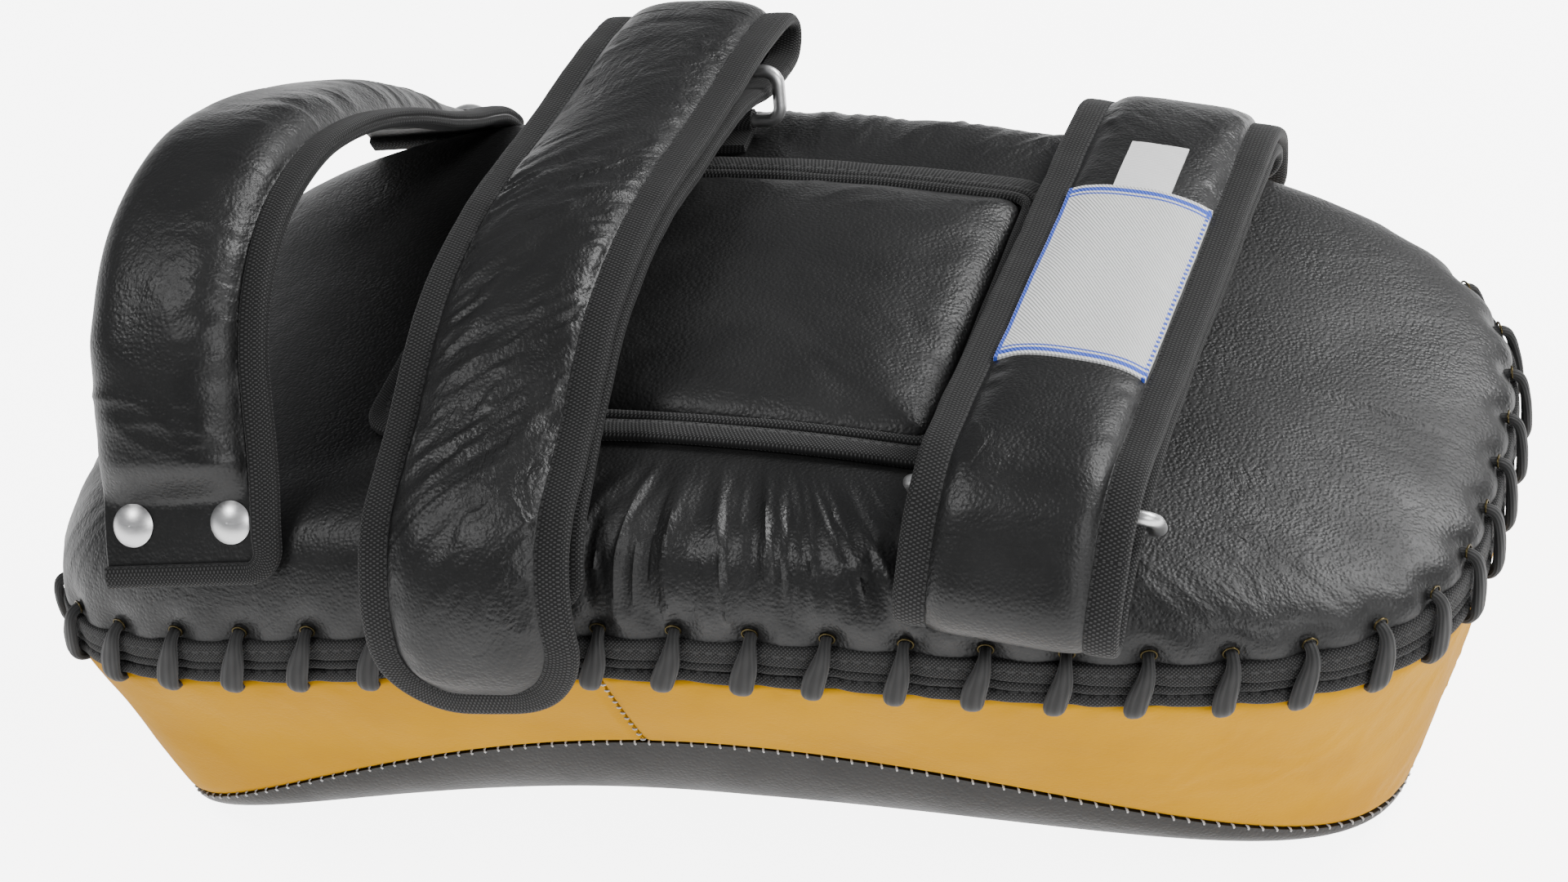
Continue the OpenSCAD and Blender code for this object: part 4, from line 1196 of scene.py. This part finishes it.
def flap_surface(s, x):
    """Height of the finished flap's face over its leather, found by looking down on it"""
    tree = BVHTree.FromObject(strap["panel"], bpy.context.evaluated_depsgraph_get())
    over = 20.0     # where the look down starts
    far, near = strip(s[:, None], x[None], over), strip(s[:, None], x[None], 0.0)
    heights = np.zeros((len(s), len(x)))
    for i in range(len(s)):
        for j in range(len(x)):
            start = Vector(far[i, j] + (0, 0, LIFT)) * MM
            hit = tree.ray_cast(start, Vector(near[i, j] - far[i, j]).normalized())
            heights[i, j] = over - hit[3] / MM if hit[0] else HALF_T
    for _ in range(6):
        heights = np.maximum(heights, neighbours(heights) / 4)
    for _ in range(3):
        heights = (neighbours(heights) + 2 * heights) / 6
    return heights


def patch_on_flap(name, w_from, w_to, half, material, lift, node):
    a, b = sorted((s_where(w_from), s_where(w_to)))
    s, x = np.linspace(a, b, 90), np.linspace(-half, half, 41)
    face = flap_surface(s, x)
    piece = sheet(strip, name, s, x, face - 0.5, face + lift, material,
                  start=(a + b) / 2, smooth=40)
    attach(piece, "flap_2_body")
    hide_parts(node)


patch_on_flap("woven_label_patch", 46, -44, LABEL_HALF_W, label_weave, 0.6, "woven_label")
patch_on_flap("size_tag_patch", -44, -70, 7.6, tag_weave, 0.4, "size_tag")

# %% [markdown]
# ## Grip
# A padded arch, bound on its inner edge and riveted at both ends.

# %% Grip
GRIP = [[-105.6, 18.6], [-102.4, 25.8], [-98.2, 32.8], [-93.4, 39.8], [-88.5, 48], [-83, 59],
        [-75.5, 71], [-65, 80.6], [-51, 87], [-33, 89.6], [-10, 87.4], [16, 78.4], [42, 64.4],
        [62, 51], [76, 42.6], [87, 37], [95.2, 32.2], [101.3, 25.8], [105, 18.6]]
GRIP_LEFT, GRIP_RIGHT, GRIP_EDGE = -24.0, 23.4, 24.0    # the tape's edge is a little outside
GRIP_CORNER, GRIP_CROWN, GRIP_TAPE_W = 9.5, 9.6, 7.2
grip_strip = Strip(GRIP, place=-125, pivot=28, tilt=-6, face=-1)
s_end = grip_strip.length[-1]
s = np.concatenate([[0.4, 1.0, 2.2], np.arange(4, 18, 3.5), np.arange(18, 36, 2),
                    np.arange(36, s_end - 3, 3.5), s_end - np.array([2.2, 1.0, 0.4])])
c = np.array([0, 0.012, 0.05, 0.12, 0.21, 0.32, 0.44, 0.56, 0.67, 0.75, 0.81, 0.838, 0.856,
              0.92, 1])
into_corner = np.maximum(GRIP_CORNER - np.minimum(s, s_end - s), 0)
cut = GRIP_CORNER - np.sqrt(GRIP_CORNER ** 2 - into_corner ** 2)
x = GRIP_LEFT + (GRIP_RIGHT - cut[:, None] - GRIP_LEFT) * c


def grip_height(s, x):
    """Height of the grip's padding over its leather"""
    rise = smoothstep(grip_strip.knot(2) + 5, grip_strip.knot(3) + 8, s) ** 0.7
    fall = 1 - smoothstep(grip_strip.knot(13), grip_strip.knot(16), s)
    inner = np.clip((16.4 - x) / 17, 0, 1)
    outer = np.clip((x - GRIP_LEFT) / 13, 0, 1)
    return (GRIP_CROWN * rise * fall * (1 - (1 - inner) ** 2.6) ** 0.6
            * (1 - (1 - outer) ** 2.4) ** 0.6)


grown = grip_height(s[:, None], x)
grip = sheet(grip_strip, "grip_padded_leather", s, x, -HALF_T - 0.02 * grown, HALF_T + grown,
             grip_leather)
held = (grown < 0.8) * 1.0
held[:, c > 0.83] = 1
spot, amount = fill(grip, grown, held, 4.0, 1.6)
u, v = spot.T
over = np.clip(grip_height(u, v) / 8, 0, 1)
bend = smoothstep(grip_strip.knot(2), grip_strip.knot(5), u) * (
    1 - smoothstep(grip_strip.knot(6), grip_strip.knot(8), u))
rumple = (creases(u / 9, (v + u * 0.3) / 17, 101) * (0.07 + 0.3 * bend)
          + creases(u / 4.4, (v + u * 0.3) / 15, 105) * 0.3 * smoothstep(-4, 10, v))
soft = waves(u / 24, v / 20, 103) * 0.6
push(grip, amount * (rumple * smoothstep(0.05, 0.5, over) + soft * over))
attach(grip, "pad")
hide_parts("grip_cover", "grip_foam")

# Its tape runs across each end tab, round its corner and along the inner edge
a = np.linspace(np.pi / 2, 0, 10)
across_tab = np.linspace(GRIP_LEFT, GRIP_EDGE - GRIP_CORNER - 1, 26)
first = np.concatenate([np.column_stack([across_tab * 0, across_tab]), np.column_stack([
    GRIP_CORNER - GRIP_CORNER * np.sin(a), GRIP_EDGE - GRIP_CORNER + GRIP_CORNER * np.cos(a)])])
straight = np.arange(GRIP_CORNER + 1.3, s_end - GRIP_CORNER - 1, 1.3)
path = np.concatenate([first, np.column_stack([straight, straight * 0 + GRIP_EDGE]),
                       (first * (-1, 1) + (s_end, 0))[::-1]])
slope = unit(np.gradient(path, axis=0))
run = lengths(path)
reach_in, high, across = tape_section(GRIP_TAPE_W, 2.5, 0.9)
off_end = np.minimum(np.minimum(path[:, :1], s_end - path[:, :1]) / 12, 1)
reach_in = reach_in * (0.85 + 0.15 * off_end) + waves(run / 11, run * 0, 107)[:, None] * 0.14
rings = grip_strip(path[:, :1] + slope[:, 1:] * reach_in,
                   path[:, 1:] - slope[:, :1] * reach_in, high)
grip_trim = skin("grip_edging", rings, strap_weave, laid_flat(run, across))
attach(grip_trim, "pad")
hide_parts("grip_tape")
print("grip ready")

# %% [markdown]
# ## Pieces kept from the part
# Metal, fasteners, keepers and the foam inside stay as they are, with real finishes.

# %% Finishes on kept pieces
FINISHES = [
    (satin, "satin_metal", ["ring_1", "ring_2", "grip_rivets_near", "grip_rivets_far"]),
    (fuzzy, "hook_and_loop", ["strap_1_loop_patch", "strap_1_hook_patch",
                              "strap_2_loop_patch", "strap_2_hook_patch"]),
    (plain_weave, "woven_tape", ["ring_1_keeper", "ring_2_keeper"]),
    (soft_foam, "foam_soft", ["foam_strike_layer", "foam_back_layer"]),
    (firm_foam, "foam_firm", ["foam_core_layer"]),
]
for finish, slot_name, names in FINISHES:
    for name in names:
        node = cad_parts[name]
        node.data.materials.clear()
        node.data.materials.append(finish)

# %% [markdown]
# ## Studio
# A white floor that meets a bright room. Three soft lights: a key over the grip end,
# one on the far side for the edges and one in front.

# %% Floor and lights
m = Material("studio white", Roughness=0.9, Specular_IOR_Level=0.2, Emission_Color=(1, 1, 1, 1))
# The floor looks whiter than the light it throws on the pad
seen = Value(m.tree, m.tree.nodes.new("ShaderNodeLightPath").outputs["Is Camera Ray"])
m.set(Emission_Strength=seen * 4.5 + 1.6,
      Base_Color=m.object.noise(2).mix(grey(0.90), grey(0.92)))
bpy.ops.mesh.primitive_plane_add(size=12, location=(0, 0, -0.0005))
floor = bpy.context.object
floor.name = "floor"
floor.data.transform(floor.matrix_world)
floor.matrix_world = Matrix.Identity(4)
floor.data.materials.append(m.made)

world = bpy.data.worlds.new("bright room")
bpy.context.scene.world = world
world.use_nodes = True
room_colour, room_strength = world.node_tree.nodes["Background"].inputs[:2]
room_colour.default_value, room_strength.default_value = rgb(0.96, 0.97, 1.0), 0.3


def soft_light(name, at, aim, size, power):
    bpy.ops.object.light_add(type="AREA", location=at)
    lamp = bpy.context.object
    lamp.name = name
    lamp.data.shape = "RECTANGLE"
    lamp.data.size, lamp.data.size_y = size
    lamp.data.energy = power
    lamp.rotation_euler = (Vector(aim) - Vector(at)).to_track_quat("-Z", "Y").to_euler()


soft_light("key light", (-0.7, -0.5, 1.5), (0, 0, 0.1), (0.6, 0.4), 13)
soft_light("rim light", (0.9, 0.9, 1.1), (0, 0, 0.1), (0.9, 0.5), 30)
soft_light("front light", (1.25, -0.75, 0.95), (0.05, 0, 0.08), (0.9, 0.7), 15)
